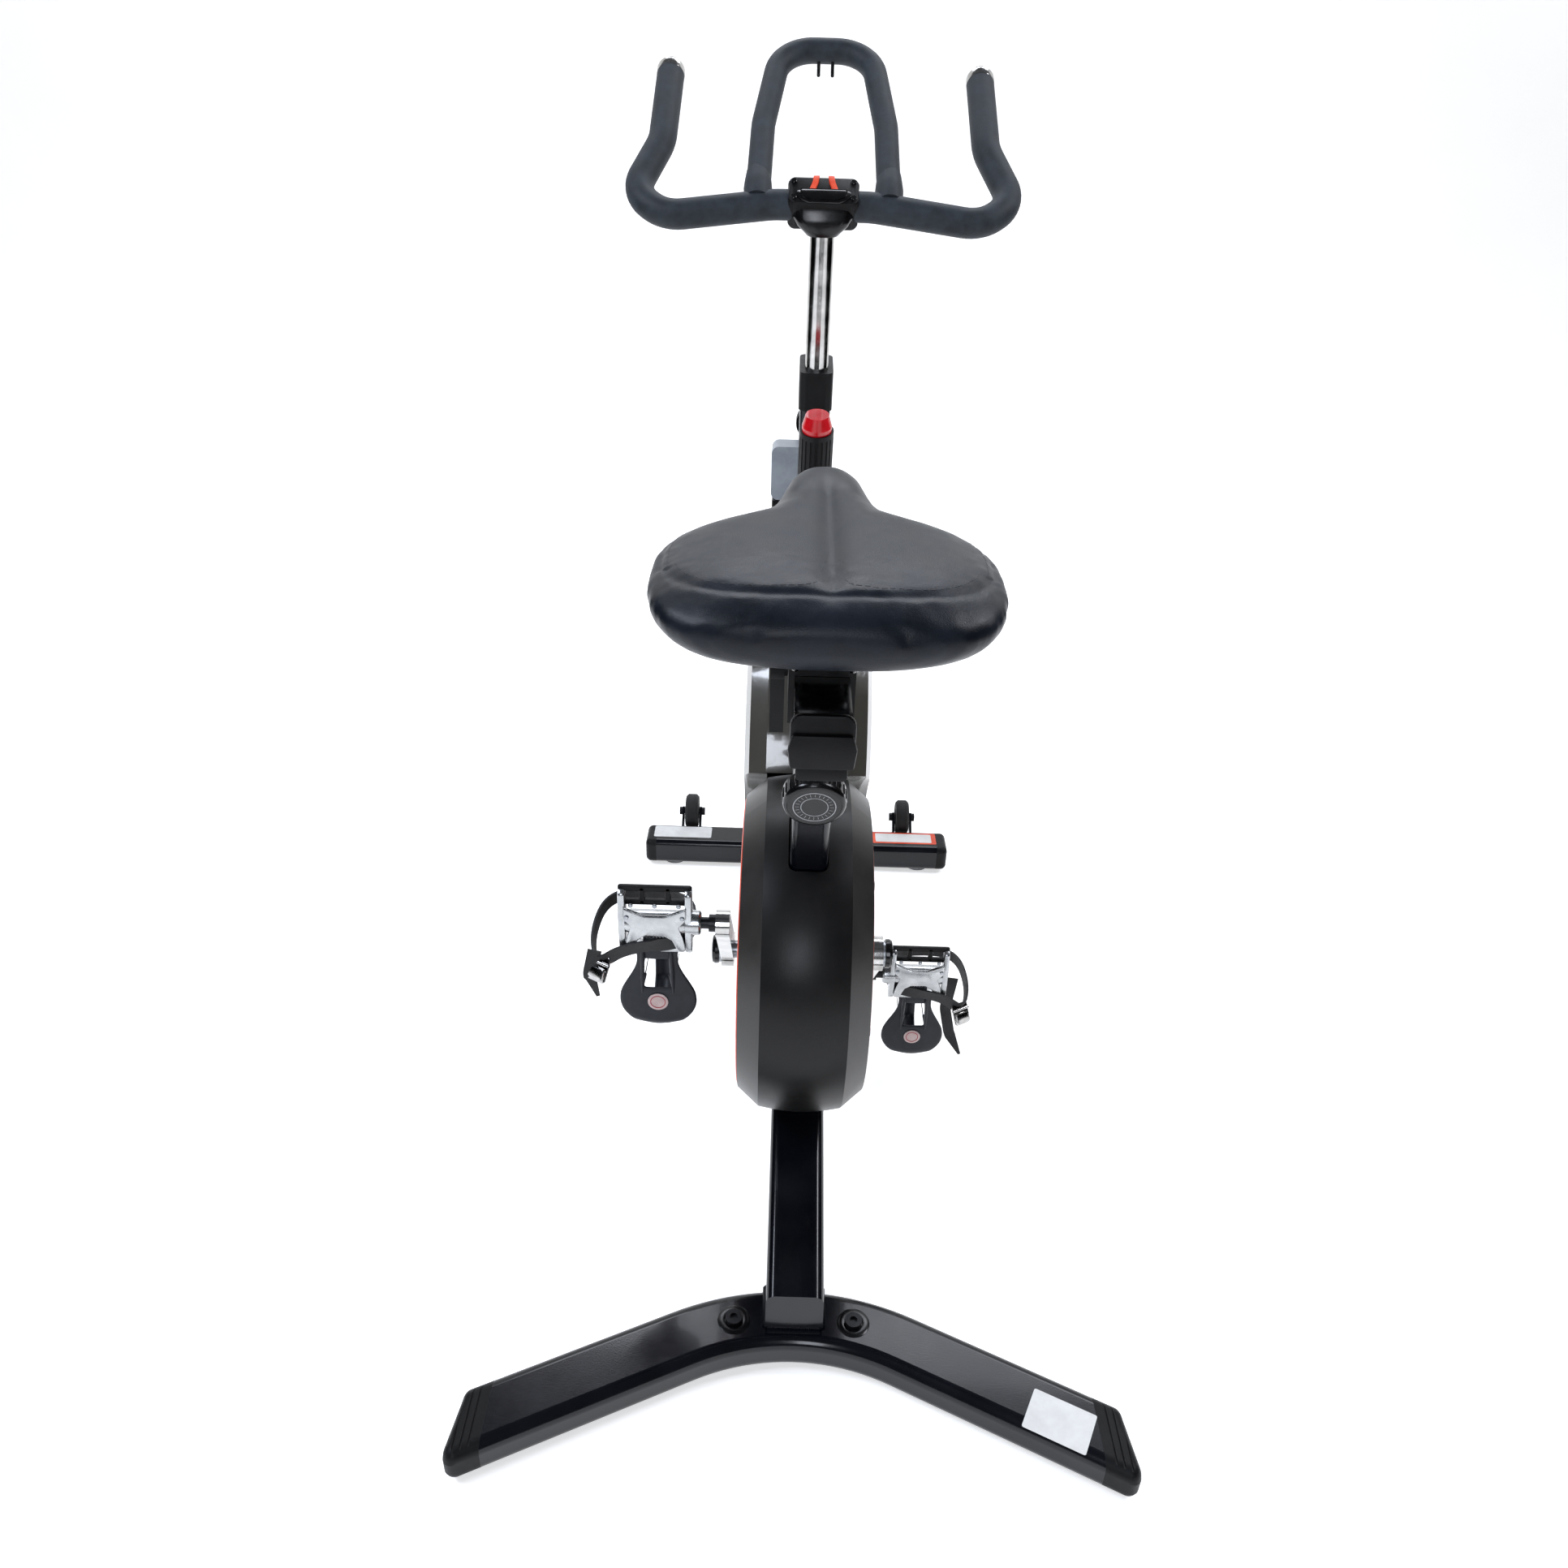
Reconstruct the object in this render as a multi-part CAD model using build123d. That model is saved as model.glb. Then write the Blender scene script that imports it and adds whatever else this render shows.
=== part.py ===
from build123d import *
import os
from math import atan2, cos, hypot, radians, sin, sqrt, tan

# Indoor training bike. Millimetres, +X to the rider's right, +Y forward, +Z up.
# The origin is on the floor, under the middle of the whole bike.

# ---- driving dimensions -------------------------------------------------
FLOOR_GAP = 6.0                  # feet stand this far off the floor on their levelling pads

REAR_FOOT_Y = -425.5             # middle of the V foot's tube at its bend
FOOT_HALF_SPAN = 300.0           # steel part of the V foot, each side
FOOT_SWEEP = 26.0                # each arm is swept back by this angle
FOOT_WIDTH = 68.0
FOOT_HEIGHT = 40.0
FOOT_BEND_R = 263.0

FRONT_FOOT_Y = 510.5             # middle of the front foot
FRONT_FOOT_HALF = 240.0
FRONT_FOOT_DEPTH = 59.0
FRONT_FOOT_HEIGHT = 44.0

WHEEL_X = 184.0                  # transport wheels
WHEEL_R = 30.0
WHEEL_WIDTH = 22.0
WHEEL_Y = 567.5
WHEEL_Z = 60.0

CRANK_Y = -147.0                 # crank axle
CRANK_Z = 314.0
CRANK_LENGTH = 170.0
CRANK_ANGLE = 46.5               # left crank points back and up by this angle
CRANK_IN = 78.0                  # inner face of the crank arms
CRANK_THICK = 14.0
AXLE_R = 10.0

WHEEL_AXLE_Y = 160.0             # flywheel axle
WHEEL_AXLE_Z = 420.0
FLYWHEEL_R = 175.0

SEAT_LEAN = 19.0                 # seat tube leans back
SEAT_TUBE = (38.0, 72.0)         # width and depth
SEAT_TUBE_TOP = 398.0            # along the tube from the crank axle
SEAT_TUBE_FOOT = -132.0

COLUMN_LEAN = 7.5                # front column leans back
COLUMN_TUBE = (40.0, 72.0)
BAR_Y = 377.0                    # middle of the handlebar's cross tube
BAR_Z = 1051.0
BAR_TILT = 37.0                  # the handlebar lies in a plane tilted up by this angle
BAR_R = 17.5
LOOP_R = 15.0

POST = (30.0, 60.0, 12.0)        # both sliding posts: width, depth, corner radius
STEEL_WALL = 3.0
RUNNING_GAP = 0.3

LEG_WIDTH = 60.0
LEG_NODE = (-100.0, 180.0)       # where the rear leg, the front leg and the seat tube meet
LEG_TOP_REAR = 100.0             # top of the rear leg where it stands on the V foot
LEG_REAR_Y = -445.0
LEG_HALF_HEIGHT = 28.0
FRONT_LEG_END = (470.0, 74.0)
LEG_CORNER = 10.0
LEG_WALL = 4.0

DRUM_Y, DRUM_Z = -150.0, 332.0   # round cover over the cranks' pulley
DRUM_R = 184.0
DRUM_HALF = 68.0
BAND_HALF = 45.0
BAND_CROWN = 5.0
COVER_R = 215.0                  # cover over the flywheel
COVER_HALF = 74.0
COVER_WALL = 3.0

BELT_IN, BELT_OUT = 30.0, 44.0   # the pulleys' faces
CRANK_PULLEY_R = 110.0
WHEEL_PULLEY_R = 27.5
IDLER_R = 15.0
BELT_THICK = 4.0
BELT_GAP = 0.1

KNOB_Y = 245.0                   # resistance knob's place on the top tube
TOP_TUBE_START = (-235.0, 570.0)
TOP_TUBE_END = (418.0, 752.0)
TOP_TUBE = (38.0, 60.0)

BRACKET_PIVOT = (312.0, 540.0)   # magnet bracket's pivot

PEDAL_X = 153.0                  # middle of each pedal
PEDAL_HALF = 36.0
TOE_REACH = 137.0

SADDLE_PIVOT = (-340.0, 790.0)
RAIL_BOTTOM, RAIL_TOP = 733.0, 770.0
RAIL_REAR, RAIL_FRONT = -448.0, -225.0


# ---- fitted sizes -------------------------------------------------------------
BOLT_R = 5.0                     # bolts, and the levelling pads' studs
STUD_R = 5.0
STUD_LENGTH = 26.0
PAD_R = 20.0
REAR_BOLT_X = 63.0
REAR_BOLT_Y = -434.0
REAR_PAD_X = 275.0
FRONT_PAD_X = 210.0
FRONT_BOLT_X = 42.0
CAP_END = 340.0                  # ends of the feet's moulded caps
FRONT_CAP_END = 258.0
LUG_GAP = 15.0                   # ears that hold each transport wheel
LUG_THICK = 4.0
WHEEL_BOLT_R = 5.0
REAR_FOOT_FRONT = REAR_FOOT_Y + 34.0
LEG_TOP_AT_TUBE = LEG_NODE[1] + LEG_HALF_HEIGHT
BEARING_R = 21.0

PIN_R = 5.0                      # locking pins, placed along their tubes
SEAT_PIN_AT = 352.0
COLUMN_PIN_AT = -300.0
COLUMN_TOP = -246.0
SLOT_END = 40.0
SEAT_POST_BOTTOM = 150.0
SEAT_POST_TOP = 470.0
HANDLE_POST_BOTTOM = -480.0
HANDLE_POST_TOP = -22.0

KNOB_BOTTOM = 18.0               # resistance knob, heights above the top tube
KNOB_TOP = 88.0
KNOB_R = 20.5
KNOB_RIBS = 20
CAP_R = 18.0
CAP_TOP_R = 14.0
ROD_R = 5.0
ROD_BELOW = 94.0
BRACKET_PIN_R = 4.0

SPINDLE_R = 6.0
STRAP_OUT = 26.0                 # the strap stands this far out beside the pedal
CLAMP_R = 12.0
SADDLE_RAIL_X = 22.0
SADDLE_RAIL_R = 3.5
LOOP_LIFT = 6.0                  # the loop rides this much higher than the cross tube
TOP_RISE = TOP_TUBE_END[1] - TOP_TUBE_START[1]
TOP_RUN = TOP_TUBE_END[0] - TOP_TUBE_START[0]
TOP_LENGTH = hypot(TOP_RUN, TOP_RISE)
TOP_DIR = (TOP_RUN / TOP_LENGTH, TOP_RISE / TOP_LENGTH)


# ---- helpers --------------------------------------------------------------
def slab(points, x0, x1):
    """A flat shape drawn in side view, as thick as x0 to x1."""
    return extrude(Plane.YZ.offset(x0) * Polygon(*points, align=None), x1 - x0, dir=(1, 0, 0))


def disc(y, z, radius, x0, x1):
    """A round bar along X."""
    return extrude(Plane.YZ.offset(x0) * (Pos(y, z) * Circle(radius)), x1 - x0)


def ring(y, z, outer, inner, x0, x1):
    """A tube or bush along X."""
    return disc(y, z, outer, x0, x1) - disc(y, z, inner, x0 - 1, x1 + 1)


def block(x0, x1, y0, y1, z0, z1):
    return Pos((x0 + x1) / 2, (y0 + y1) / 2, (z0 + z1) / 2) * Box(x1 - x0, y1 - y0, z1 - z0)


def along(y, z, lean, distance=0.0):
    """A working plane across a leaning tube, its normal pointing up the tube."""
    dy, dz = -sin(radians(lean)), cos(radians(lean))
    origin = (0, y + distance * dy, z + distance * dz)
    return Plane(origin=origin, x_dir=(1, 0, 0), z_dir=(0, dy, dz))


def seat_plane(distance):
    return along(CRANK_Y, CRANK_Z, SEAT_LEAN, distance)


def column_plane(distance):
    return along(BAR_Y, BAR_Z, COLUMN_LEAN, distance)


def rod(plane, radius, length):
    return extrude(plane * Circle(radius), length)


def box_tube(plane, width, depth, corner, length, wall=0.0):
    """A rounded rectangular tube, or a bar where wall is 0."""
    body = extrude(plane * RectangleRounded(width, depth, corner), length)
    if wall > 0:
        inner = RectangleRounded(width - 2 * wall, depth - 2 * wall, corner - wall)
        body -= extrude(plane * inner, length)
    return body


def revolve_about_x(y, z, profile):
    """Turn a closed outline of (x, radius) points once around a line along X."""
    face = Plane((0, y, z), x_dir=(1, 0, 0), z_dir=(0, -1, 0)) * Polygon(*profile, align=None)
    return revolve(face, Axis((0, y, z), (1, 0, 0)))


def mirrored(shape):
    return mirror(shape, about=Plane.YZ)


def group(shapes):
    return Compound(children=list(shapes))


# ---- feet -------------------------------------------------------------------
REAR_CORNER = FOOT_BEND_R * (1 / cos(radians(FOOT_SWEEP)) - 1)
REAR_Z = FLOOR_GAP + FOOT_HEIGHT / 2


def rear_arm_y(x):
    """Middle of the V foot's arm at a distance x from the middle of the bike."""
    return REAR_FOOT_Y + REAR_CORNER - abs(x) * tan(radians(FOOT_SWEEP))


def rear_bar(width, height, corner, reach):
    ends = [(-reach, rear_arm_y(reach)), (0, rear_arm_y(0)), (reach, rear_arm_y(reach))]
    path = Pos(0, 0, REAR_Z) * FilletPolyline(*ends, radius=FOOT_BEND_R)
    section = Plane(origin=path @ 0, z_dir=path % 0) * RectangleRounded(width, height, corner)
    return sweep(section, path=path)


def rear_foot():
    outer = rear_bar(FOOT_WIDTH, FOOT_HEIGHT, 12, FOOT_HALF_SPAN + 30)
    wall = 2 * STEEL_WALL
    inner = rear_bar(FOOT_WIDTH - wall, FOOT_HEIGHT - wall, 9, FOOT_HALF_SPAN + 40)
    keep = block(-FOOT_HALF_SPAN, FOOT_HALF_SPAN, -700, -300, 0, 100)
    foot = (outer & keep) - inner
    for x in (-REAR_BOLT_X, REAR_BOLT_X):
        foot -= Pos(x, REAR_BOLT_Y, REAR_Z + FOOT_HEIGHT / 2) * Cylinder(BOLT_R + 0.3, 12)
    for x in (-REAR_PAD_X, REAR_PAD_X):
        foot -= Pos(x, rear_arm_y(REAR_PAD_X), FLOOR_GAP) * Cylinder(STUD_R + 0.1, 12)
    return foot


def rear_cap():
    """Moulded end of the right arm, with grip grooves across its top."""
    bar = rear_bar(FOOT_WIDTH, FOOT_HEIGHT, 12, FOOT_HALF_SPAN + 60)
    slant = [(FOOT_HALF_SPAN, -650), (CAP_END + 2, -650), (CAP_END - 18, -480), (FOOT_HALF_SPAN, -480)]
    cap = bar & extrude(Polygon(*slant, align=None), 100, dir=(0, 0, 1))
    cap = fillet(cap.faces().sort_by(Axis.X)[-1].edges(), 9)
    for step in range(3):
        groove = FOOT_HALF_SPAN + 9 + 7 * step
        cap -= block(groove, groove + 2, -650, -480, FLOOR_GAP + FOOT_HEIGHT - 1.5, 60)
    return cap


def front_foot():
    z0 = FLOOR_GAP
    z1 = FLOOR_GAP + FRONT_FOOT_HEIGHT
    plane = Plane(origin=(-FRONT_FOOT_HALF, FRONT_FOOT_Y, (z0 + z1) / 2), x_dir=(0, 1, 0), z_dir=(1, 0, 0))
    foot = box_tube(plane, FRONT_FOOT_DEPTH, FRONT_FOOT_HEIGHT, 10, 2 * FRONT_FOOT_HALF, STEEL_WALL)
    for x in (-FRONT_BOLT_X, FRONT_BOLT_X):
        foot -= Pos(x, FRONT_FOOT_Y, z1) * Cylinder(BOLT_R + 0.3, 12)
    for x in (-FRONT_PAD_X, FRONT_PAD_X):
        foot -= Pos(x, FRONT_FOOT_Y, z0) * Cylinder(STUD_R + 0.1, 12)
    face = FRONT_FOOT_Y + FRONT_FOOT_DEPTH / 2
    root = [(face - 0.5, 14), (face - 0.5, 44)]
    outline = root + [(WHEEL_Y, WHEEL_Z + 9), (WHEEL_Y + 9, WHEEL_Z), (WHEEL_Y, WHEEL_Z - 9)]
    for side in (-1, 1):
        for gap in (-LUG_GAP, LUG_GAP):
            x = side * WHEEL_X + gap
            lug = slab(outline, x - LUG_THICK / 2, x + LUG_THICK / 2)
            foot += lug - disc(WHEEL_Y, WHEEL_Z, WHEEL_BOLT_R + 0.05, x - 5, x + 5)
    return foot


def front_cap():
    z = FLOOR_GAP + FRONT_FOOT_HEIGHT / 2
    plane = Plane(origin=(FRONT_FOOT_HALF, FRONT_FOOT_Y, z), x_dir=(0, 1, 0), z_dir=(1, 0, 0))
    cap = box_tube(plane, FRONT_FOOT_DEPTH, FRONT_FOOT_HEIGHT, 10, FRONT_CAP_END - FRONT_FOOT_HALF)
    return fillet(cap.faces().sort_by(Axis.X)[-1].edges(), 9)


def leveler(x, y):
    """Rubber-soled pad on a threaded stud that screws into the foot."""
    pad = Pos(x, y, FLOOR_GAP / 2) * Cylinder(PAD_R, FLOOR_GAP - 0.2)
    stud = Pos(x, y, FLOOR_GAP - 0.5 + STUD_LENGTH / 2) * Cylinder(STUD_R, STUD_LENGTH)
    return Pos(0, 0, -0.1) * (pad + stud)


def foot_bolts():
    bolts = []
    rear_top = FLOOR_GAP + FOOT_HEIGHT
    front_top = FLOOR_GAP + FRONT_FOOT_HEIGHT
    places = [(-REAR_BOLT_X, REAR_BOLT_Y, rear_top), (REAR_BOLT_X, REAR_BOLT_Y, rear_top)]
    places += [(-FRONT_BOLT_X, FRONT_FOOT_Y, front_top), (FRONT_BOLT_X, FRONT_FOOT_Y, front_top)]
    for x, y, z in places:
        head = Pos(x, y, z + 3) * Cylinder(9, 6) - Pos(x, y, z + 5) * Cylinder(4, 4)
        bolts.append(head + Pos(x, y, z - 9) * Cylinder(BOLT_R, 18))
    for side in (-1, 1):
        x = side * WHEEL_X
        reach = LUG_GAP + LUG_THICK / 2
        bolt = disc(WHEEL_Y, WHEEL_Z, WHEEL_BOLT_R, x - reach - 3, x + reach + 3)
        for end in (x - reach - 5, x + reach):
            bolt += disc(WHEEL_Y, WHEEL_Z, 7, end, end + 5)
        bolts.append(bolt)
    return group(bolts)


def transport_wheel(side):
    x = side * WHEEL_X
    half = WHEEL_WIDTH / 2
    edge = 4
    rim = [(-half, WHEEL_R - edge), (-half + edge, WHEEL_R), (half - edge, WHEEL_R), (half, WHEEL_R - edge)]
    profile = [(-half, 12)] + rim + [(half, 12)]
    tyre = revolve_about_x(WHEEL_Y, WHEEL_Z, [(x + dx, r) for dx, r in profile])
    hub = ring(WHEEL_Y, WHEEL_Z, 13, WHEEL_BOLT_R + 0.06, x - half - 1, x + half + 1)
    return tyre + hub


# ---- frame --------------------------------------------------------------------


def leg_wall(outline, corner):
    """A welded leg of box section, drawn in side view, its long edges rounded."""
    half = LEG_WIDTH / 2
    shell = slab(outline, -half, half)
    long_edges = shell.edges().filter_by(lambda e: abs((e @ 1 - e @ 0).X) < 1 and e.length > 150)
    return fillet(long_edges, corner)


def rear_leg():
    top = FLOOR_GAP + FOOT_HEIGHT
    y1, z1 = LEG_NODE
    slope = (z1 + LEG_HALF_HEIGHT - LEG_TOP_REAR) / (y1 - LEG_REAR_Y)
    under = z1 - LEG_HALF_HEIGHT - slope * (y1 - REAR_FOOT_FRONT)
    outline = [(LEG_REAR_Y, top), (LEG_REAR_Y, LEG_TOP_REAR), (y1, z1 + LEG_HALF_HEIGHT)]
    outline += [(y1, z1 - LEG_HALF_HEIGHT), (REAR_FOOT_FRONT, under), (REAR_FOOT_FRONT, top)]
    body = leg_wall(outline, LEG_CORNER)
    t = LEG_WALL
    core = [(LEG_REAR_Y + t, top + t), (LEG_REAR_Y + t, LEG_TOP_REAR - t), (y1 + 1, z1 + LEG_HALF_HEIGHT - t)]
    core += [(y1 + 1, z1 - LEG_HALF_HEIGHT + t)]
    core += [(REAR_FOOT_FRONT - t, under + t), (REAR_FOOT_FRONT - t, top + t)]
    return body - slab(core, -LEG_WIDTH / 2 + 7, LEG_WIDTH / 2 - 7)


def front_leg():
    y0, z0 = LEG_NODE
    y1, z1 = FRONT_LEG_END
    h = LEG_HALF_HEIGHT - 2
    outline = [(y0, z0 - h), (y0, z0 + h), (y1, z1 + h), (y1, z1 - h)]
    body = leg_wall(outline, LEG_CORNER)
    t = LEG_WALL
    core = [(y0 - 1, z0 - h + t), (y0 - 1, z0 + h - t), (y1 + 1, z1 + h - t), (y1 + 1, z1 - h + t)]
    body -= slab(core, -LEG_WIDTH / 2 + 7, LEG_WIDTH / 2 - 7)
    return body - column_core()


def bottom_bracket_shell():
    return ring(CRANK_Y, CRANK_Z, 25, BEARING_R, -27, 27)


def seat_tube():
    width, depth = SEAT_TUBE
    tube = box_tube(seat_plane(SEAT_TUBE_FOOT), width, depth, 8, SEAT_TUBE_TOP - SEAT_TUBE_FOOT, STEEL_WALL)
    tube -= disc(CRANK_Y, CRANK_Z, 25, -40, 40)
    leg = [(LEG_NODE[0] - 60, 40), (LEG_NODE[0] - 60, LEG_TOP_AT_TUBE - 17), (LEG_NODE[0], LEG_TOP_AT_TUBE)]
    leg += [(LEG_NODE[0] + 60, LEG_TOP_AT_TUBE - 9), (LEG_NODE[0] + 60, 40)]
    tube -= slab(leg, -40, 40)
    tube += seat_pin_boss()
    return tube - seat_pin_hole(PIN_R + 0.1)


def pin_plane(plane, offset):
    """A plane facing backwards out of a leaning tube, offset from the tube's middle."""
    back = -plane.y_dir if plane.y_dir.Y > 0 else plane.y_dir
    return Plane(origin=plane.origin + back * offset, x_dir=(1, 0, 0), z_dir=back)


def front_pin_plane(plane, offset):
    """A plane facing forwards out of the column."""
    front = plane.y_dir if plane.y_dir.Y > 0 else -plane.y_dir
    return Plane(origin=plane.origin + front * offset, x_dir=(1, 0, 0), z_dir=front)


def seat_pin_boss():
    return rod(pin_plane(seat_plane(SEAT_PIN_AT), SEAT_TUBE[1] / 2 - 1), 14, 15)


def seat_pin_hole(radius):
    return rod(pin_plane(seat_plane(SEAT_PIN_AT), 20), radius, 60)


def top_tube_plane(distance):
    y, z = TOP_TUBE_START
    origin = (0, y + distance * TOP_DIR[0], z + distance * TOP_DIR[1])
    return Plane(origin=origin, x_dir=(1, 0, 0), z_dir=(0, *TOP_DIR))


def knob_plane(height):
    """A plane across the resistance knob, at a height above the top tube's upper face."""
    run = (KNOB_Y - TOP_TUBE_START[0]) / TOP_DIR[0]
    y = TOP_TUBE_START[0] + run * TOP_DIR[0]
    z = TOP_TUBE_START[1] + run * TOP_DIR[1]
    normal = (-TOP_DIR[1], TOP_DIR[0])
    offset = TOP_TUBE[1] / 2 + height
    origin = (0, y + offset * normal[0], z + offset * normal[1])
    return Plane(origin=origin, x_dir=(1, 0, 0), z_dir=(0, *normal))


def top_tube():
    width, depth = TOP_TUBE
    tube = box_tube(top_tube_plane(0), width, depth, 8, TOP_LENGTH, STEEL_WALL)
    tube += rod(knob_plane(-2), 16, KNOB_BOTTOM + 2)
    tube -= rod(knob_plane(-TOP_TUBE[1] - 10), ROD_R + 1, 140)
    tube -= extrude(seat_plane(-100) * RectangleRounded(*SEAT_TUBE, 8), 700)
    return tube - column_core()


def column_core():
    return extrude(column_plane(-1100) * RectangleRounded(*COLUMN_TUBE, 8), 1050)


def column_foot_distance():
    return (BAR_Z - FLOOR_GAP - FRONT_FOOT_HEIGHT) / cos(radians(COLUMN_LEAN))


def front_column():
    length = column_foot_distance() + 40 + COLUMN_TOP
    tube = box_tube(column_plane(-column_foot_distance() - 40), *COLUMN_TUBE, 8, length, STEEL_WALL)
    tube -= block(-60, 60, 300, 700, -80, FLOOR_GAP + FRONT_FOOT_HEIGHT)
    tube += rod(front_pin_plane(column_plane(COLUMN_PIN_AT), COLUMN_TUBE[1] / 2 - 1), 14, 15)
    return tube - rod(front_pin_plane(column_plane(COLUMN_PIN_AT), 20), PIN_R + 0.1, 60)


def fork_plate_outline(grow=0.0):
    """Side view of the plates that carry the flywheel under the top tube."""
    return [(90 - grow, 640 + grow), (318, 704 + grow), (332 + grow, 700), (332 + grow, 522 - grow),
            (190 + grow, 388 - grow), (130 - grow, 388 - grow)]


def fork_plates():
    plates = []
    for side in (-1, 1):
        x0, x1 = sorted((side * 19, side * 27))
        plate = slab(fork_plate_outline(), x0, x1)
        plate += disc(WHEEL_AXLE_Y, WHEEL_AXLE_Z, 28, *sorted((side * 17, side * 29)))
        plate -= disc(WHEEL_AXLE_Y, WHEEL_AXLE_Z, BEARING_R, -40, 40)
        plates.append(plate)
    pivot = disc(*BRACKET_PIVOT, BRACKET_PIN_R, -19, 19)
    return plates[0] + plates[1] + pivot


def post_sleeve(plane_at, tube, top, depth, collar):
    """Plastic guide pressed into a tube, with a collar that stands on the tube's end."""
    width, deep = tube
    wall = 2 * STEEL_WALL
    inside = extrude(plane_at(top - depth) * RectangleRounded(width - wall, deep - wall, 5), depth)
    ring_part = extrude(plane_at(top) * RectangleRounded(width + 4, deep + 4, 10), collar)
    bore = RectangleRounded(POST[0] + RUNNING_GAP, POST[1] + RUNNING_GAP, POST[2])
    return inside + ring_part - extrude(plane_at(top - depth - 1) * bore, depth + collar + 2)


# ---- covers ----------------------------------------------------------------------
def drum_side():
    """Round side cover, a shallow cup with a sloping rim. Right side."""
    outer = [(BAND_HALF, DRUM_R), (DRUM_HALF, DRUM_R - 20), (DRUM_HALF, 20), (DRUM_HALF - COVER_WALL, 20)]
    inner = [(DRUM_HALF - COVER_WALL, DRUM_R - 22), (BAND_HALF, DRUM_R - 4)]
    return revolve_about_x(DRUM_Y, DRUM_Z, outer + inner) - disc(CRANK_Y, CRANK_Z, 24, 40, 90)


def drum_band():
    """Slightly crowned band around the drum, open where the tubes and the belt pass."""
    low = DRUM_R - COVER_WALL
    outside = ThreePointArc((-BAND_HALF, DRUM_R), (0, DRUM_R + BAND_CROWN), (BAND_HALF, DRUM_R))
    inside = ThreePointArc((BAND_HALF, low), (0, low + BAND_CROWN), (-BAND_HALF, low))
    section = make_face([outside, Line(outside @ 1, inside @ 0), inside, Line(inside @ 1, outside @ 0)])
    centre = (0, DRUM_Y, DRUM_Z)
    band = revolve(Plane(centre, x_dir=(1, 0, 0), z_dir=(0, -1, 0)) * section, Axis(centre, (1, 0, 0)))
    gap = 1.5
    band -= extrude(seat_plane(0) * RectangleRounded(SEAT_TUBE[0] + 2 * gap, SEAT_TUBE[1] + 2 * gap, 9), 400)
    y0, z0 = LEG_NODE
    h = LEG_HALF_HEIGHT + gap + 1
    slope_rear = (z0 + LEG_HALF_HEIGHT - LEG_TOP_REAR) / (y0 - LEG_REAR_Y)
    slope_front = (FRONT_LEG_END[1] - z0) / (FRONT_LEG_END[0] - y0)
    path = [(y0 - 200, z0 + h - 200 * slope_rear), (y0, z0 + h), (y0 + 200, z0 + h + 200 * slope_front)]
    back = [(y, z - 2 * h) for y, z in reversed(path)]
    band -= slab(path + back, -LEG_WIDTH / 2 - gap, LEG_WIDTH / 2 + gap)
    return band - disc(WHEEL_AXLE_Y, WHEEL_AXLE_Z, COVER_R + 0.5, -60, 60)


def wheel_cover():
    """Half of the flywheel's cover, right side: a deep cup, bitten by the drum."""
    lip = 30.0
    t = COVER_WALL
    rim = [(COVER_HALF, COVER_R - lip), (COVER_HALF - 6, COVER_R - lip / 3), (COVER_HALF - 26, COVER_R)]
    inside = [(COVER_HALF - t, COVER_R - lip - 1), (COVER_HALF - 6 - t, COVER_R - lip / 3 - 2)]
    inside += [(COVER_HALF - 27, COVER_R - t), (-1, COVER_R - t)]
    profile = [(0, 0), (COVER_HALF, 0)] + rim + [(0, COVER_R)]
    hollow = [(-1, 0), (COVER_HALF - t, 0)] + inside
    outer = revolve_about_x(WHEEL_AXLE_Y, WHEEL_AXLE_Z, profile)
    inner = revolve_about_x(WHEEL_AXLE_Y, WHEEL_AXLE_Z, hollow)
    outer -= disc(DRUM_Y, DRUM_Z, DRUM_R + 6, -10, 100)
    inner -= disc(DRUM_Y, DRUM_Z, DRUM_R + 6 + t, BAND_HALF + 2, 100)
    shell = outer - inner
    shell -= slab(fork_plate_outline(1.0), -1, 28)
    return shell - rod(knob_plane(-TOP_TUBE[1] - ROD_BELOW), ROD_R + 1, ROD_BELOW)


def cover_screws():
    """Countersunk cross-head screws that hold the side covers."""
    screws = []
    places = [(DRUM_Y, DRUM_Z, 150, 60 + 60 * k, DRUM_HALF) for k in range(6)]
    places += [(WHEEL_AXLE_Y, WHEEL_AXLE_Z, 170, angle, COVER_HALF) for angle in (-80, -40, 0, 40, 80)]
    for y, z, radius, angle, face in places:
        cy = y + radius * cos(radians(angle))
        cz = z + radius * sin(radians(angle))
        for side in (-1, 1):
            head = disc(cy, cz, 5, *sorted((side * face, side * (face + 1.5))))
            head -= disc(cy, cz, 2, *sorted((side * (face + 0.7), side * (face + 3))))
            screws.append(head)
    return group(screws)


def sensor_box():
    """Small pale box on the column's left side."""
    box = block(-56, -20, 385, 425, 678, 751)
    return fillet(box.edges().filter_by(Axis.Y).sort_by(Axis.X)[:2], 10)


# ---- drive -----------------------------------------------------------------------
def shaft_bearings():
    """Sealed ball bearings of the crank axle and of the flywheel axle."""
    bearings = []
    for side in (-1, 1):
        bore = AXLE_R + 0.05
        bearings.append(ring(CRANK_Y, CRANK_Z, BEARING_R, bore, *sorted((side * 15, side * 27))))
        bearings.append(ring(WHEEL_AXLE_Y, WHEEL_AXLE_Z, BEARING_R, bore, *sorted((side * 17, side * 29))))
    return group(bearings)


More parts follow.
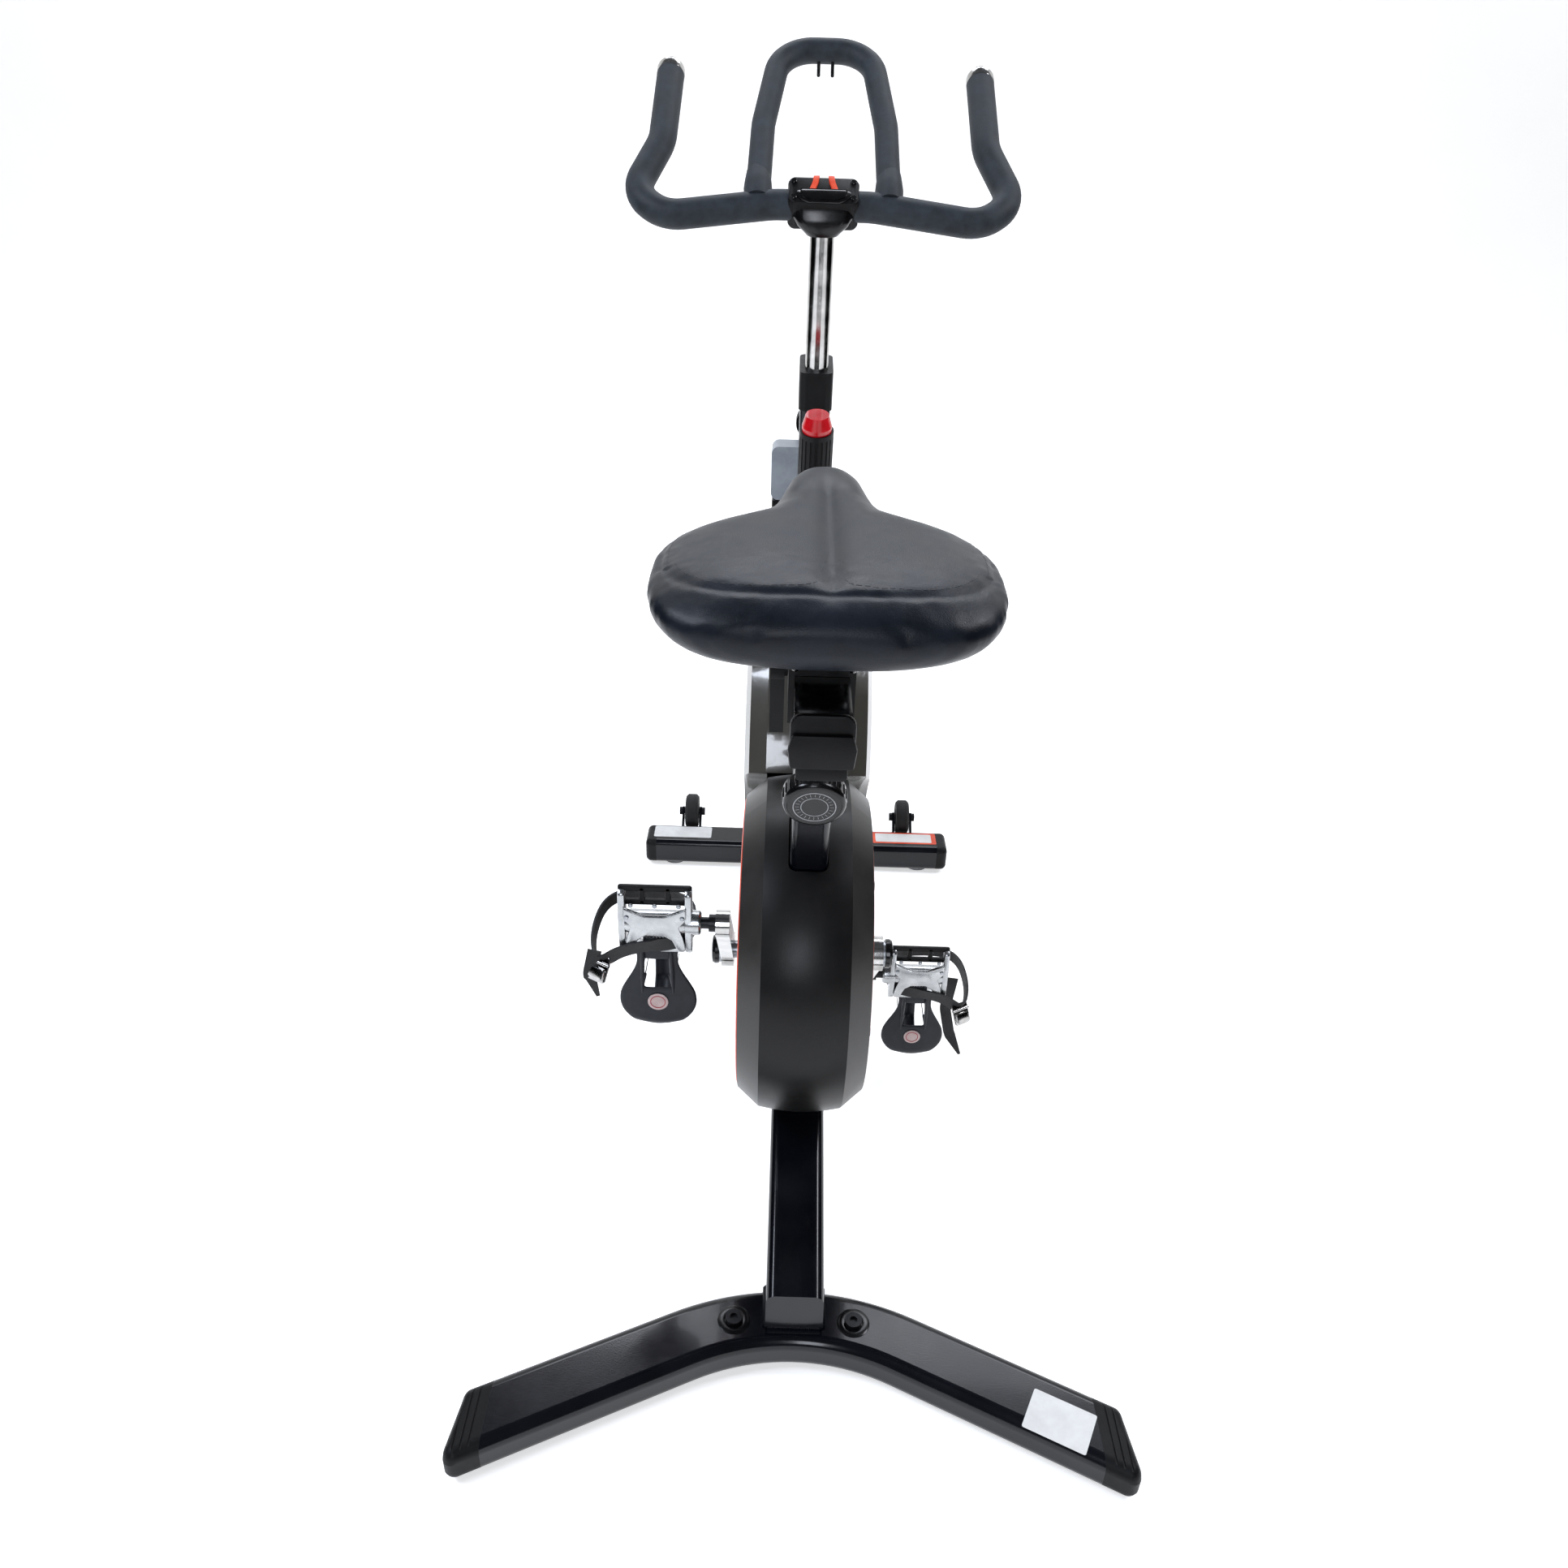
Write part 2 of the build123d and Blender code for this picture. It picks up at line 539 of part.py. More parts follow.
def flywheel():
    profile = [(-15, AXLE_R), (-15, 26), (-4, 32), (-4, 138), (-8, 145), (-8, FLYWHEEL_R), (8, FLYWHEEL_R),
               (8, 145), (4, 138), (4, 32), (15, 26), (15, AXLE_R)]
    wheel = revolve_about_x(WHEEL_AXLE_Y, WHEEL_AXLE_Z, profile)
    for k in range(5):
        angle = radians(72 * k + 18)
        wheel -= disc(WHEEL_AXLE_Y + 88 * cos(angle), WHEEL_AXLE_Z + 88 * sin(angle), 26, -10, 10)
    return wheel


def flywheel_axle():
    axle = disc(WHEEL_AXLE_Y, WHEEL_AXLE_Z, AXLE_R, -33, 50)
    for x0, x1 in ((-41, -33), (45, 50)):
        axle += disc(WHEEL_AXLE_Y, WHEEL_AXLE_Z, 14, x0, x1)
    return axle


def grooved_pulley(y, z, radius, bore, web):
    """Poly-V pulley: a grooved rim, thinner web and a hub."""
    ribs = 5
    step = (BELT_OUT - BELT_IN) / ribs
    rim = []
    for k in range(ribs):
        x = BELT_IN + k * step
        rim += [(x, radius), (x + step / 2, radius - 1.5)]
    rim.append((BELT_OUT, radius))
    body = revolve_about_x(y, z, [(BELT_IN, bore)] + rim + [(BELT_OUT, bore)])
    if web > 0:
        for x0 in (BELT_IN - 1, BELT_OUT - 4):
            body -= ring(y, z, radius - 10, web, x0, x0 + 5)
    return body


def belt_line():
    """Tangent directions of the belt's straight runs: unit normal of the lower run."""
    dy, dz = WHEEL_AXLE_Y - CRANK_Y, WHEEL_AXLE_Z - CRANK_Z
    length = hypot(dy, dz)
    base = atan2(dz, dy)
    lean = atan2(CRANK_PULLEY_R - WHEEL_PULLEY_R, sqrt(length ** 2 - (CRANK_PULLEY_R - WHEEL_PULLEY_R) ** 2))
    return base, lean


def belt_loop(offset, x0, x1):
    """Everything inside a loop that runs around both pulleys at an offset."""
    base, lean = belt_line()
    big, small = CRANK_PULLEY_R + offset, WHEEL_PULLEY_R + offset
    points = []
    for side in (1, -1):
        normal = base + side * (radians(90) - lean)
        ends = [(CRANK_Y, CRANK_Z, big), (WHEEL_AXLE_Y, WHEEL_AXLE_Z, small)]
        pair = [(y + r * cos(normal), z + r * sin(normal)) for y, z, r in ends]
        points += pair if side == 1 else pair[::-1]
    loop = slab(points, x0, x1)
    return loop + disc(CRANK_Y, CRANK_Z, big, x0, x1) + disc(WHEEL_AXLE_Y, WHEEL_AXLE_Z, small, x0, x1)


def drive_belt():
    x0, x1 = BELT_IN + 1, BELT_OUT - 1
    return belt_loop(BELT_GAP + BELT_THICK, x0, x1) - belt_loop(BELT_GAP, x0 - 1, x1 + 1)


def idler_place():
    """Centre of the idler, which rides on the back of the belt's lower run."""
    base, lean = belt_line()
    normal = base - (radians(90) - lean)
    out = CRANK_PULLEY_R + 2 * BELT_GAP + BELT_THICK + IDLER_R
    forward = 70.0
    y = CRANK_Y + out * cos(normal) + forward * cos(normal + radians(90))
    z = CRANK_Z + out * sin(normal) + forward * sin(normal + radians(90))
    return y, z


def idler_pulley():
    y, z = idler_place()
    return ring(y, z, IDLER_R, 5.05, BELT_IN, BELT_OUT)


def idler_arm():
    """Flat bar from the seat tube that holds the idler's pin."""
    y, z = idler_place()
    arm = slab([(-128, 238), (-134, 262), (y - 3, z + 10), (y + 3, z - 10)], 19, 25)
    arm += disc(y, z, 10.5, 19, 25)
    return arm + disc(y, z, 5, 25, BELT_OUT + 3)


def crank_axle():
    axle = disc(CRANK_Y, CRANK_Z, AXLE_R, -CRANK_IN - CRANK_THICK, CRANK_IN + CRANK_THICK)
    end = CRANK_IN + CRANK_THICK
    for side in (-1, 1):
        axle += disc(CRANK_Y, CRANK_Z, 15, *sorted((side * end, side * (end + 3))))
    return axle


def pedal_centre(side):
    """Pedal spindle in side view. The left crank points back and up, the right one opposite."""
    reach = CRANK_LENGTH * side
    return CRANK_Y + reach * cos(radians(CRANK_ANGLE)), CRANK_Z - reach * sin(radians(CRANK_ANGLE))


def crank(side):
    py, pz = pedal_centre(side)
    x0, x1 = sorted((side * CRANK_IN, side * (CRANK_IN + CRANK_THICK)))
    dy, dz = (py - CRANK_Y) / CRANK_LENGTH, (pz - CRANK_Z) / CRANK_LENGTH
    wide, narrow = 15.0, 12.0
    corners = [(CRANK_Y - dz * wide, CRANK_Z + dy * wide), (py - dz * narrow, pz + dy * narrow)]
    corners += [(py + dz * narrow, pz - dy * narrow), (CRANK_Y + dz * wide, CRANK_Z - dy * wide)]
    arm = slab(corners, x0, x1) + disc(CRANK_Y, CRANK_Z, 20, x0, x1) + disc(py, pz, 14, x0, x1)
    arm -= disc(CRANK_Y, CRANK_Z, AXLE_R, x0 - 1, x1 + 1)
    return arm - disc(py, pz, 7, x0 - 1, x1 + 1)


def pedal_spindle(side):
    y, z = pedal_centre(side)
    inner = CRANK_IN + 1
    spindle = disc(y, z, 7, *sorted((side * inner, side * (inner + CRANK_THICK))))
    spindle += disc(y, z, 9, *sorted((side * (CRANK_IN + CRANK_THICK), side * (CRANK_IN + CRANK_THICK + 7))))
    return spindle + disc(y, z, SPINDLE_R, *sorted((side * 98, side * (PEDAL_X + PEDAL_HALF - 6))))


def pedal_body(side):
    """Metal pedal hanging from its spindle: barrel, two side plates and two cross bars."""
    y, z = pedal_centre(side)
    x0, x1 = PEDAL_X - PEDAL_HALF, PEDAL_X + PEDAL_HALF
    body = disc(y, z, 13, x0 - 10, x1)
    for inner in (x0, x1 - 5):
        outline = [(y - 8, z + 40), (y + 9, z + 40), (y + 12, z)]
        outline += [(y + 9, z - 32), (y - 8, z - 32), (y - 12, z)]
        body += slab(outline, inner, inner + 5)
    body += block(x0, x1, y - 9, y + 9, z + 33, z + 40)
    body += block(x0, x1, y - 9, y + 9, z - 32, z - 26)
    body += block(PEDAL_X - 27, PEDAL_X + 27, y - 11, y - 7, z + 22, z + 45)
    for k in (-1, 0, 1):
        body -= block(PEDAL_X + 17 * k - 6, PEDAL_X + 17 * k + 6, y - 13, y - 5, z + 29, z + 39)
    body -= disc(y, z, SPINDLE_R + 0.05, x0 - 11, x1 - 5)
    return body if side > 0 else mirrored(body)


def toe_clip(side):
    """Springy plastic cage that holds the front of the shoe."""
    y, z = pedal_centre(side)
    half, thick = 40.0, 3.5
    route = [(y, z - 33), (y, z - TOE_REACH + 22), (y + 24, z - TOE_REACH)]
    route += [(y + 62, z - TOE_REACH + 18), (y + 66, z - 84)]
    line = Plane.YZ * FilletPolyline(*route, radius=14)
    band = trace_band(line, thick, half)
    waist = 24.0
    window = block(PEDAL_X - 13, PEDAL_X + 13, y - 10, y + 10, z - 88, z - 52)
    band -= window
    for edge in (-1, 1):
        x = PEDAL_X + edge * half
        cutter = Rot(0, 90, 90) * Cylinder(waist / 2 + 4, 24, rotation=(0, 90, 0))
        band -= Pos(x + edge * 6, y, z - 42) * cutter
    return band if side > 0 else mirrored(band)


def trace_band(line, thick, half):
    """A flat band that follows a line drawn in side view, centred on the pedal."""
    start = line @ 0
    direction = line % 0
    plane = Plane(origin=start, x_dir=(1, 0, 0), z_dir=direction)
    return Pos(PEDAL_X, 0, 0) * sweep(plane * Rectangle(2 * half, thick), path=line)


def toe_strap(side):
    """Strap loop through the pedal, over the shoe and back."""
    y, z = pedal_centre(side)
    plane = Plane(origin=(PEDAL_X + STRAP_OUT / 2, y + 22.5, z - 13.5), x_dir=(1, 0, 0), z_dir=(0, 0, -1))
    width = 2 * PEDAL_HALF + 8 + STRAP_OUT
    loop = RectangleRounded(width, 76, 6) - RectangleRounded(width - 5, 71, 3.5)
    strap = extrude(plane * loop, 18)
    outside = PEDAL_X + PEDAL_HALF + STRAP_OUT + 4
    strap += block(outside, outside + 4, y + 12, y + 38, z - 33, z - 12)
    return strap if side > 0 else mirrored(strap)


# ---- brake -------------------------------------------------------------------------
def polar(radius, angle):
    return WHEEL_AXLE_Y + radius * cos(radians(angle)), WHEEL_AXLE_Z + radius * sin(radians(angle))


def magnet_bracket():
    """Channel that straddles the flywheel's rim, with magnets inside its cheeks."""
    inner, outer = 152.0, 190.0
    first, last = 46.0, 76.0
    steps = 4
    spots = [first + (last - first) * k / steps for k in range(steps + 1)]
    arch = [polar(outer, a) for a in spots] + [polar(inner, a) for a in reversed(spots)]
    lid = [polar(outer, a) for a in spots] + [polar(outer - 4, a) for a in reversed(spots)]
    py, pz = BRACKET_PIVOT
    bracket = slab(lid, -16, 16)
    for side in (-1, 1):
        x0, x1 = sorted((side * 13, side * 16))
        outline = [polar(outer, first), polar(outer, first + 6), polar(inner + 10, first + 4)]
        outline += [(py - 4, pz - 9), (py + 7, pz - 6), (py + 5, pz + 8)]
        ear = slab(outline, x0, x1)
        bracket += slab(arch, x0, x1) + ear + disc(py, pz, 10, x0, x1)
    bracket -= disc(py, pz, BRACKET_PIN_R + 0.05, -20, 20)
    for k in range(3):
        my, mz = polar(162, first + 5 + 10 * k)
        for side in (-1, 1):
            bracket += disc(my, mz, 10, *sorted((side * 10.5, side * 13)))
    return bracket


def resistance_knob():
    """Ribbed knob that turns the brake's adjusting screw."""
    knob = rod(knob_plane(KNOB_BOTTOM + 2), KNOB_R, KNOB_TOP - KNOB_BOTTOM - 2)
    plane = knob_plane(KNOB_BOTTOM + 8)
    for k in range(KNOB_RIBS):
        angle = radians(360 / KNOB_RIBS * k)
        groove = plane * (Pos(KNOB_R * cos(angle), KNOB_R * sin(angle)) * Circle(1.3))
        knob -= extrude(groove, KNOB_TOP - KNOB_BOTTOM - 14)
    knob -= rod(knob_plane(KNOB_BOTTOM), ROD_R + 0.5, KNOB_TOP)
    return knob - rod(knob_plane(KNOB_TOP - 10), CAP_R + 0.3, 20)


def brake_plunger():
    """Red push cap on the emergency brake's rod."""
    low = knob_plane(KNOB_TOP - 2)
    cap = rod(low, CAP_R, 8)
    wide = knob_plane(KNOB_TOP + 6) * Circle(CAP_R)
    small = knob_plane(KNOB_TOP + 20) * Circle(CAP_TOP_R)
    cap += loft([Face(Wire(wide.edge())), Face(Wire(small.edge()))])
    length = TOP_TUBE[1] + KNOB_TOP + ROD_BELOW
    return cap + rod(knob_plane(-TOP_TUBE[1] - ROD_BELOW), ROD_R, length)


# ---- seat ---------------------------------------------------------------------------
def sliding_post(plane_at, bottom, top, slot_front):
    """Hollow oval post with a guide slot for the locking pin along one side."""
    post = box_tube(plane_at(bottom), *POST, top - bottom, 5.0)
    edge = POST[1] / 2
    y0, y1 = (edge - 8, edge + 2) if slot_front else (-edge - 2, -edge + 8)
    slot = plane_at(bottom + 15) * (Pos(0, (y0 + y1) / 2) * Rectangle(11, y1 - y0))
    return post - extrude(slot, top - bottom - SLOT_END)


def seat_post():
    post = sliding_post(seat_plane, SEAT_POST_BOTTOM, SEAT_POST_TOP, False)
    post -= block(-60, 60, -500, 0, RAIL_BOTTOM, 900)
    rail = block(-22, 22, RAIL_REAR + 6, RAIL_FRONT - 6, RAIL_BOTTOM, RAIL_TOP)
    rail -= block(-17, 17, RAIL_REAR, RAIL_FRONT, RAIL_BOTTOM + 5, RAIL_TOP - 5)
    for side in (-1, 1):
        rail -= block(*sorted((side * 20, side * 24)), RAIL_REAR, RAIL_FRONT, RAIL_TOP - 20, RAIL_TOP - 14)
    for y0, y1 in ((RAIL_REAR, RAIL_REAR + 6), (RAIL_FRONT - 6, RAIL_FRONT)):
        plate = Plane(origin=(0, y0, 0), x_dir=(1, 0, 0), z_dir=(0, -1, 0))
        outline = [(-23.5, 730), (23.5, 730), (23.5, 752), (19, 771), (-19, 771), (-23.5, 752)]
        rail += extrude(plate * Polygon(*outline, align=None), y1 - y0, dir=(0, 1, 0))
    return post + rail


def pull_pin(plane, knob_r, reach):
    """Spring pin with a round pull knob. The plane is the tube's outer face."""
    pin = rod(plane.offset(-reach), PIN_R, reach + 20)
    knob = rod(plane.offset(18), knob_r - 3, 4)
    knob += rod(plane.offset(22), knob_r, 20)
    face = knob.faces().sort_by(lambda f: (f.center() - plane.origin).dot(plane.z_dir))[-1]
    knob = fillet(face.edges(), 5)
    return pin + knob


def seat_pin():
    return pull_pin(pin_plane(seat_plane(SEAT_PIN_AT), SEAT_TUBE[1] / 2), 28.5, 10)


def column_pin():
    return pull_pin(front_pin_plane(column_plane(COLUMN_PIN_AT), COLUMN_TUBE[1] / 2), 24, 10)


def saddle_slider():
    """Carriage around the rail, with a cradle for the saddle clamp."""
    y, z = SADDLE_PIVOT
    g = RUNNING_GAP
    body = block(-27, 27, y - 40, y + 40, RAIL_BOTTOM - 5, RAIL_TOP + 6)
    body -= block(-22 - g, 22 + g, y - 50, y + 50, RAIL_BOTTOM - g, RAIL_TOP + g)
    body -= block(-17.5, 17.5, y - 50, y + 50, RAIL_BOTTOM - 10, RAIL_BOTTOM)
    body += block(-16, 16, y - 20, y + 20, RAIL_TOP + 5, z + 2)
    return body - disc(y, z, CLAMP_R + g, -40, 40)


def slider_lever():
    """Flip lever that locks the carriage, on its left side."""
    y, z = SADDLE_PIVOT[0] + 10, 752
    lever = disc(y, z, 10, -42, -30) + disc(y, z, 5, -30, -27.3)
    arm = slab([(y - 9, z), (y + 9, z), (y + 8, z - 56), (y - 6, z - 56)], -42, -30)
    return lever + arm


def saddle_clamp():
    """Round clamp through the cradle that grips the two rails."""
    y, z = SADDLE_PIVOT
    clamp = disc(y, z, CLAMP_R, -30, 30)
    clamp -= block(-40, 40, y - 20, y + 20, z + 8, z + 20)
    for side in (-1, 1):
        clamp -= Pos(side * SADDLE_RAIL_X, y, z) * Rot(90, 0, 0) * Cylinder(SADDLE_RAIL_R + 0.02, 60)
        clamp += disc(y, z, 7, *sorted((side * 30, side * 36)))
    return clamp


def saddle_base():
    """Stiff shell under the pad, with its two steel rails."""
    y, z = SADDLE_PIVOT
    outline = [(-62, y - 80), (-84, y - 66), (-98, y - 36), (-84, y + 16), (-34, y + 58), (-17, y + 112),
               (17, y + 112), (34, y + 58), (84, y + 16), (98, y - 36), (84, y - 66), (62, y - 80)]
    base = Pos(0, 0, z + 10) * extrude(Polygon(*outline, align=None), 5, dir=(0, 0, 1))
    for side in (-1, 1):
        x = side * SADDLE_RAIL_X
        base += Pos(x, y, z) * Rot(90, 0, 0) * Cylinder(SADDLE_RAIL_R, 150)
        for end in (-72, 72):
            base += block(x - 5, x + 5, y + end - 5, y + end + 5, z - 4, z + 11)
    return base


def saddle_pad():
    """Wide padded saddle with a short nose, drawn as a row of rounded sections."""
    sections = [(-480, 84, 826, 866), (-462, 116, 812, 873), (-430, 133, 806, 876), (-395, 138, 805.5, 878),
                (-355, 136, 805.5, 879), (-325, 125, 805.5, 880), (-300, 106, 806, 881), (-281, 82, 808, 883),
                (-265, 62, 813, 885), (-248, 48, 821, 887), (-222, 37, 835, 889), (-194, 21, 856, 889)]
    faces = []
    for y, half, low, high in sections:
        plane = Plane(origin=(0, y, (low + high) / 2), x_dir=(1, 0, 0), z_dir=(0, 1, 0))
        corner = min(half, (high - low) / 2) * 0.8
        faces.append(plane * RectangleRounded(2 * half, high - low, corner))
    return loft(faces)


# ---- handlebar -------------------------------------------------------------------------
def handlebar_post():
    return sliding_post(column_plane, HANDLE_POST_BOTTOM, HANDLE_POST_TOP, True)


def bar_plane():
    tilt = radians(BAR_TILT)
    return Plane(origin=(0, BAR_Y, BAR_Z), x_dir=(1, 0, 0), z_dir=(0, -sin(tilt), cos(tilt)))


def handlebar():
    """Cross tube with swept corners and two horns, and a loop to lean on."""
    right = [(60, -6), (190, -30), (232, 5), (202, 95), (199, 236)]
    radii = [120, 44, 44, 90]
    left = [(-x, y) for x, y in reversed(right)]
    line = bar_plane() * FilletPolyline(*(left + right), radius=radii[::-1] + radii)
    bar = sweep(Plane(origin=line @ 0, z_dir=line % 0) * Circle(BAR_R), path=line)
    lift = LOOP_LIFT
    half = [(80, -4), (77, 120), (58, 258)]
    corners = [(-x, y) for x, y in half] + list(reversed(half))
    bend = bar_plane() * FilletPolyline(*corners, radius=[120, 50, 50, 120])
    loop = sweep(Plane(origin=bend @ 0, z_dir=bend % 0) * Circle(LOOP_R), path=bend)
    return bar + Pos(0, 0, lift) * loop


def handlebar_clamp():
    """Moulded block that holds the cross tube on top of the post."""
    plane = bar_plane()
    lid = extrude(plane.offset(-22) * (Pos(0, -2) * RectangleRounded(84, 44, 10)), 44)
    neck_top = column_plane(-10)
    neck_low = column_plane(HANDLE_POST_TOP - 10)
    neck = loft([neck_low * RectangleRounded(38, 66, 14), neck_top * RectangleRounded(62, 64, 14)])
    clamp = lid + neck
    clamp -= extrude(column_plane(HANDLE_POST_TOP - 60) * RectangleRounded(*POST), 60)
    return clamp - handlebar()


# ---- the bike ---------------------------------------------------------------------------
def build():
    parts = {
        "rear_foot": rear_foot(),
        "front_foot": front_foot(),
        "foot_bolts": foot_bolts(),
        "rear_leg": rear_leg(),
        "front_leg": front_leg(),
        "bottom_bracket_shell": bottom_bracket_shell(),
        "seat_tube": seat_tube(),
        "top_tube": top_tube(),
        "front_column": front_column(),
        "fork_plates": fork_plates(),
        "drum_band": drum_band(),
        "cover_screws": cover_screws(),
        "sensor_box": sensor_box(),
        "shaft_bearings": shaft_bearings(),
        "flywheel": flywheel(),
        "flywheel_axle": flywheel_axle(),
        "flywheel_pulley": grooved_pulley(WHEEL_AXLE_Y, WHEEL_AXLE_Z, WHEEL_PULLEY_R, AXLE_R, 0),
        "crank_pulley": grooved_pulley(CRANK_Y, CRANK_Z, CRANK_PULLEY_R, AXLE_R, 26),
        "drive_belt": drive_belt(),
        "idler_pulley": idler_pulley(),
        "idler_arm": idler_arm(),
        "crank_axle": crank_axle(),
        "magnet_bracket": magnet_bracket(),
        "resistance_knob": resistance_knob(),
        "brake_plunger": brake_plunger(),
        "seat_post": seat_post(),
        "seat_pin": seat_pin(),
        "saddle_slider": saddle_slider(),
        "slider_lever": slider_lever(),
        "saddle_clamp": saddle_clamp(),
        "saddle_base": saddle_base(),
        "saddle_pad": saddle_pad(),
        "handlebar_post": handlebar_post(),
        "column_pin": column_pin(),
        "handlebar": handlebar(),
        "handlebar_clamp": handlebar_clamp(),
    }
    hole = seat_pin_hole(PIN_R + 0.5)
    parts["seat_tube_sleeve"] = post_sleeve(seat_plane, SEAT_TUBE, SEAT_TUBE_TOP, 90, 22) - hole
    hole = rod(front_pin_plane(column_plane(COLUMN_PIN_AT), 20), PIN_R + 0.5, 60)
    parts["column_sleeve"] = post_sleeve(column_plane, COLUMN_TUBE, COLUMN_TOP, 110, 50) - hole
    parts["rear_foot_caps"] = group([rear_cap(), mirrored(rear_cap())])
    parts["front_foot_caps"] = group([front_cap(), mirrored(front_cap())])
    parts["drum_cover_right"] = drum_side()
    parts["drum_cover_left"] = mirrored(drum_side())
    parts["wheel_cover_right"] = wheel_cover()
    parts["wheel_cover_left"] = mirrored(wheel_cover())
    for name, side in (("left", -1), ("right", 1)):
        parts["transport_wheel_" + name] = transport_wheel(side)
        parts["leveler_rear_" + name] = leveler(side * REAR_PAD_X, rear_arm_y(REAR_PAD_X))
        parts["leveler_front_" + name] = leveler(side * FRONT_PAD_X, FRONT_FOOT_Y)
        parts["crank_" + name] = crank(side)
        parts["pedal_spindle_" + name] = pedal_spindle(side)
        parts["pedal_body_" + name] = pedal_body(side)
        parts["toe_clip_" + name] = toe_clip(side)
        parts["toe_strap_" + name] = toe_strap(side)
    return parts


os.makedirs("parts", exist_ok=True)
for node, shape in build().items():
    export_step(shape, "parts/" + node + ".step")
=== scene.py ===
import math

import bmesh
import bpy
from mathutils import Matrix, Vector, noise
from mathutils.bvhtree import BVHTree


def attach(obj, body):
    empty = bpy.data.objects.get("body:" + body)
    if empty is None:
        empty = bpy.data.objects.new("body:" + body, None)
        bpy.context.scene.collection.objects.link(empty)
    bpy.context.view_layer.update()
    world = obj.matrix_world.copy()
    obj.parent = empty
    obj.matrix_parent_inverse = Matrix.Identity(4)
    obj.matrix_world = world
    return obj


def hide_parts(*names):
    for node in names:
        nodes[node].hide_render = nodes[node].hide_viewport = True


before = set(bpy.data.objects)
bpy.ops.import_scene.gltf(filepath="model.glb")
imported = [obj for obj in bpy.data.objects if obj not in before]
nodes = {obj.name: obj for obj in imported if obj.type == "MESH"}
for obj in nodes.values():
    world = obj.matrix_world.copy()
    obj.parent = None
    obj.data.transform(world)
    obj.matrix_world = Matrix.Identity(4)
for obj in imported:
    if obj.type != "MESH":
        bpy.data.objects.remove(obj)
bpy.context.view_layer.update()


# ---- Camera, floor and light -----------------------------------------------------------
# The eye stands behind the bike, above the saddle, and looks down and forward.
# A white sweep runs under the bike and up behind it, with soft panels overhead.
# Two black flags, seen only in reflections, draw the dark lines down the sides of bright tubes.
scene = bpy.context.scene
EYE = Vector((-0.031, -1.261, 1.182))
YAW, PITCH, ROLL = (math.radians(a) for a in (0.202, 30.144, -1.819))
ahead = Vector((math.sin(YAW) * math.cos(PITCH), math.cos(YAW) * math.cos(PITCH), -math.sin(PITCH)))
level = Vector((math.cos(YAW), -math.sin(YAW), 0))
plumb = ahead.cross(level)
across = math.cos(ROLL) * level + math.sin(ROLL) * plumb
down = -math.sin(ROLL) * level + math.cos(ROLL) * plumb
camera = bpy.data.objects.new("camera", bpy.data.cameras.new("camera"))
camera.data.sensor_width = 36
camera.data.lens = 27.9503
turn = Matrix((across, -down, -ahead)).transposed()
camera.matrix_world = Matrix.Translation(EYE) @ turn.to_4x4()
scene.collection.objects.link(camera)
scene.camera = camera
scene.view_settings.view_transform = "Standard"


def colour(code):
    """An sRGB hex colour as the linear values that a shader takes."""
    parts = [int(code[i:i + 2], 16) / 255 for i in (1, 3, 5)]
    return (*[c / 12.92 if c <= 0.04045 else ((c + 0.055) / 1.055) ** 2.4 for c in parts], 1.0)


def add(tree, kind, settings=None, links=None):
    """Adds one node, sets its sockets or properties by name, and links its inputs."""
    node = tree.nodes.new(kind)
    for key, value in (settings or {}).items():
        if key in node.inputs:
            node.inputs[key].default_value = value
        else:
            setattr(node, key, value)
    for key, source in (links or {}).items():
        tree.links.new(source, node.inputs[key])
    return node


def surface(name, dark, light, patch, grain, bump, rough, sockets=None, stretch=(1, 1, 1)):
    """A moulded, painted or worked surface: its shade drifts over patches and a fine grain is raised.

    patch and grain are sizes in metres, rough is the roughness of clean and of worn places."""
    material = bpy.data.materials.new(name)
    material.use_nodes = True
    tree = material.node_tree
    shader = tree.nodes["Principled BSDF"]
    for key, value in (sockets or {}).items():
        shader.inputs[key].default_value = value
    place = add(tree, "ShaderNodeTexCoord").outputs["Object"]
    spread = add(tree, "ShaderNodeMapping", {"Scale": stretch}, {"Vector": place}).outputs["Vector"]
    drift = add(tree, "ShaderNodeTexNoise", {"Scale": 1 / patch, "Detail": 5, "Roughness": 0.6},
                {"Vector": spread})
    shades = add(tree, "ShaderNodeValToRGB", None, {"Fac": drift.outputs["Fac"]})
    for element, position, code in zip(shades.color_ramp.elements, (0.35, 0.7), (dark, light)):
        element.position = position
        element.color = colour(code)
    worn = add(tree, "ShaderNodeMapRange",
               {"From Min": 0.3, "From Max": 0.7, "To Min": rough[0], "To Max": rough[1]},
               {"Value": drift.outputs["Fac"]})
    fine = add(tree, "ShaderNodeTexNoise", {"Scale": 1 / grain, "Detail": 3}, {"Vector": spread})
    raised = add(tree, "ShaderNodeBump", {"Strength": bump, "Distance": grain * 0.5},
                 {"Height": fine.outputs["Fac"]})
    tree.links.new(shades.outputs["Color"], shader.inputs["Base Color"])
    tree.links.new(worn.outputs["Result"], shader.inputs["Roughness"])
    tree.links.new(raised.outputs["Normal"], shader.inputs["Normal"])
    return material


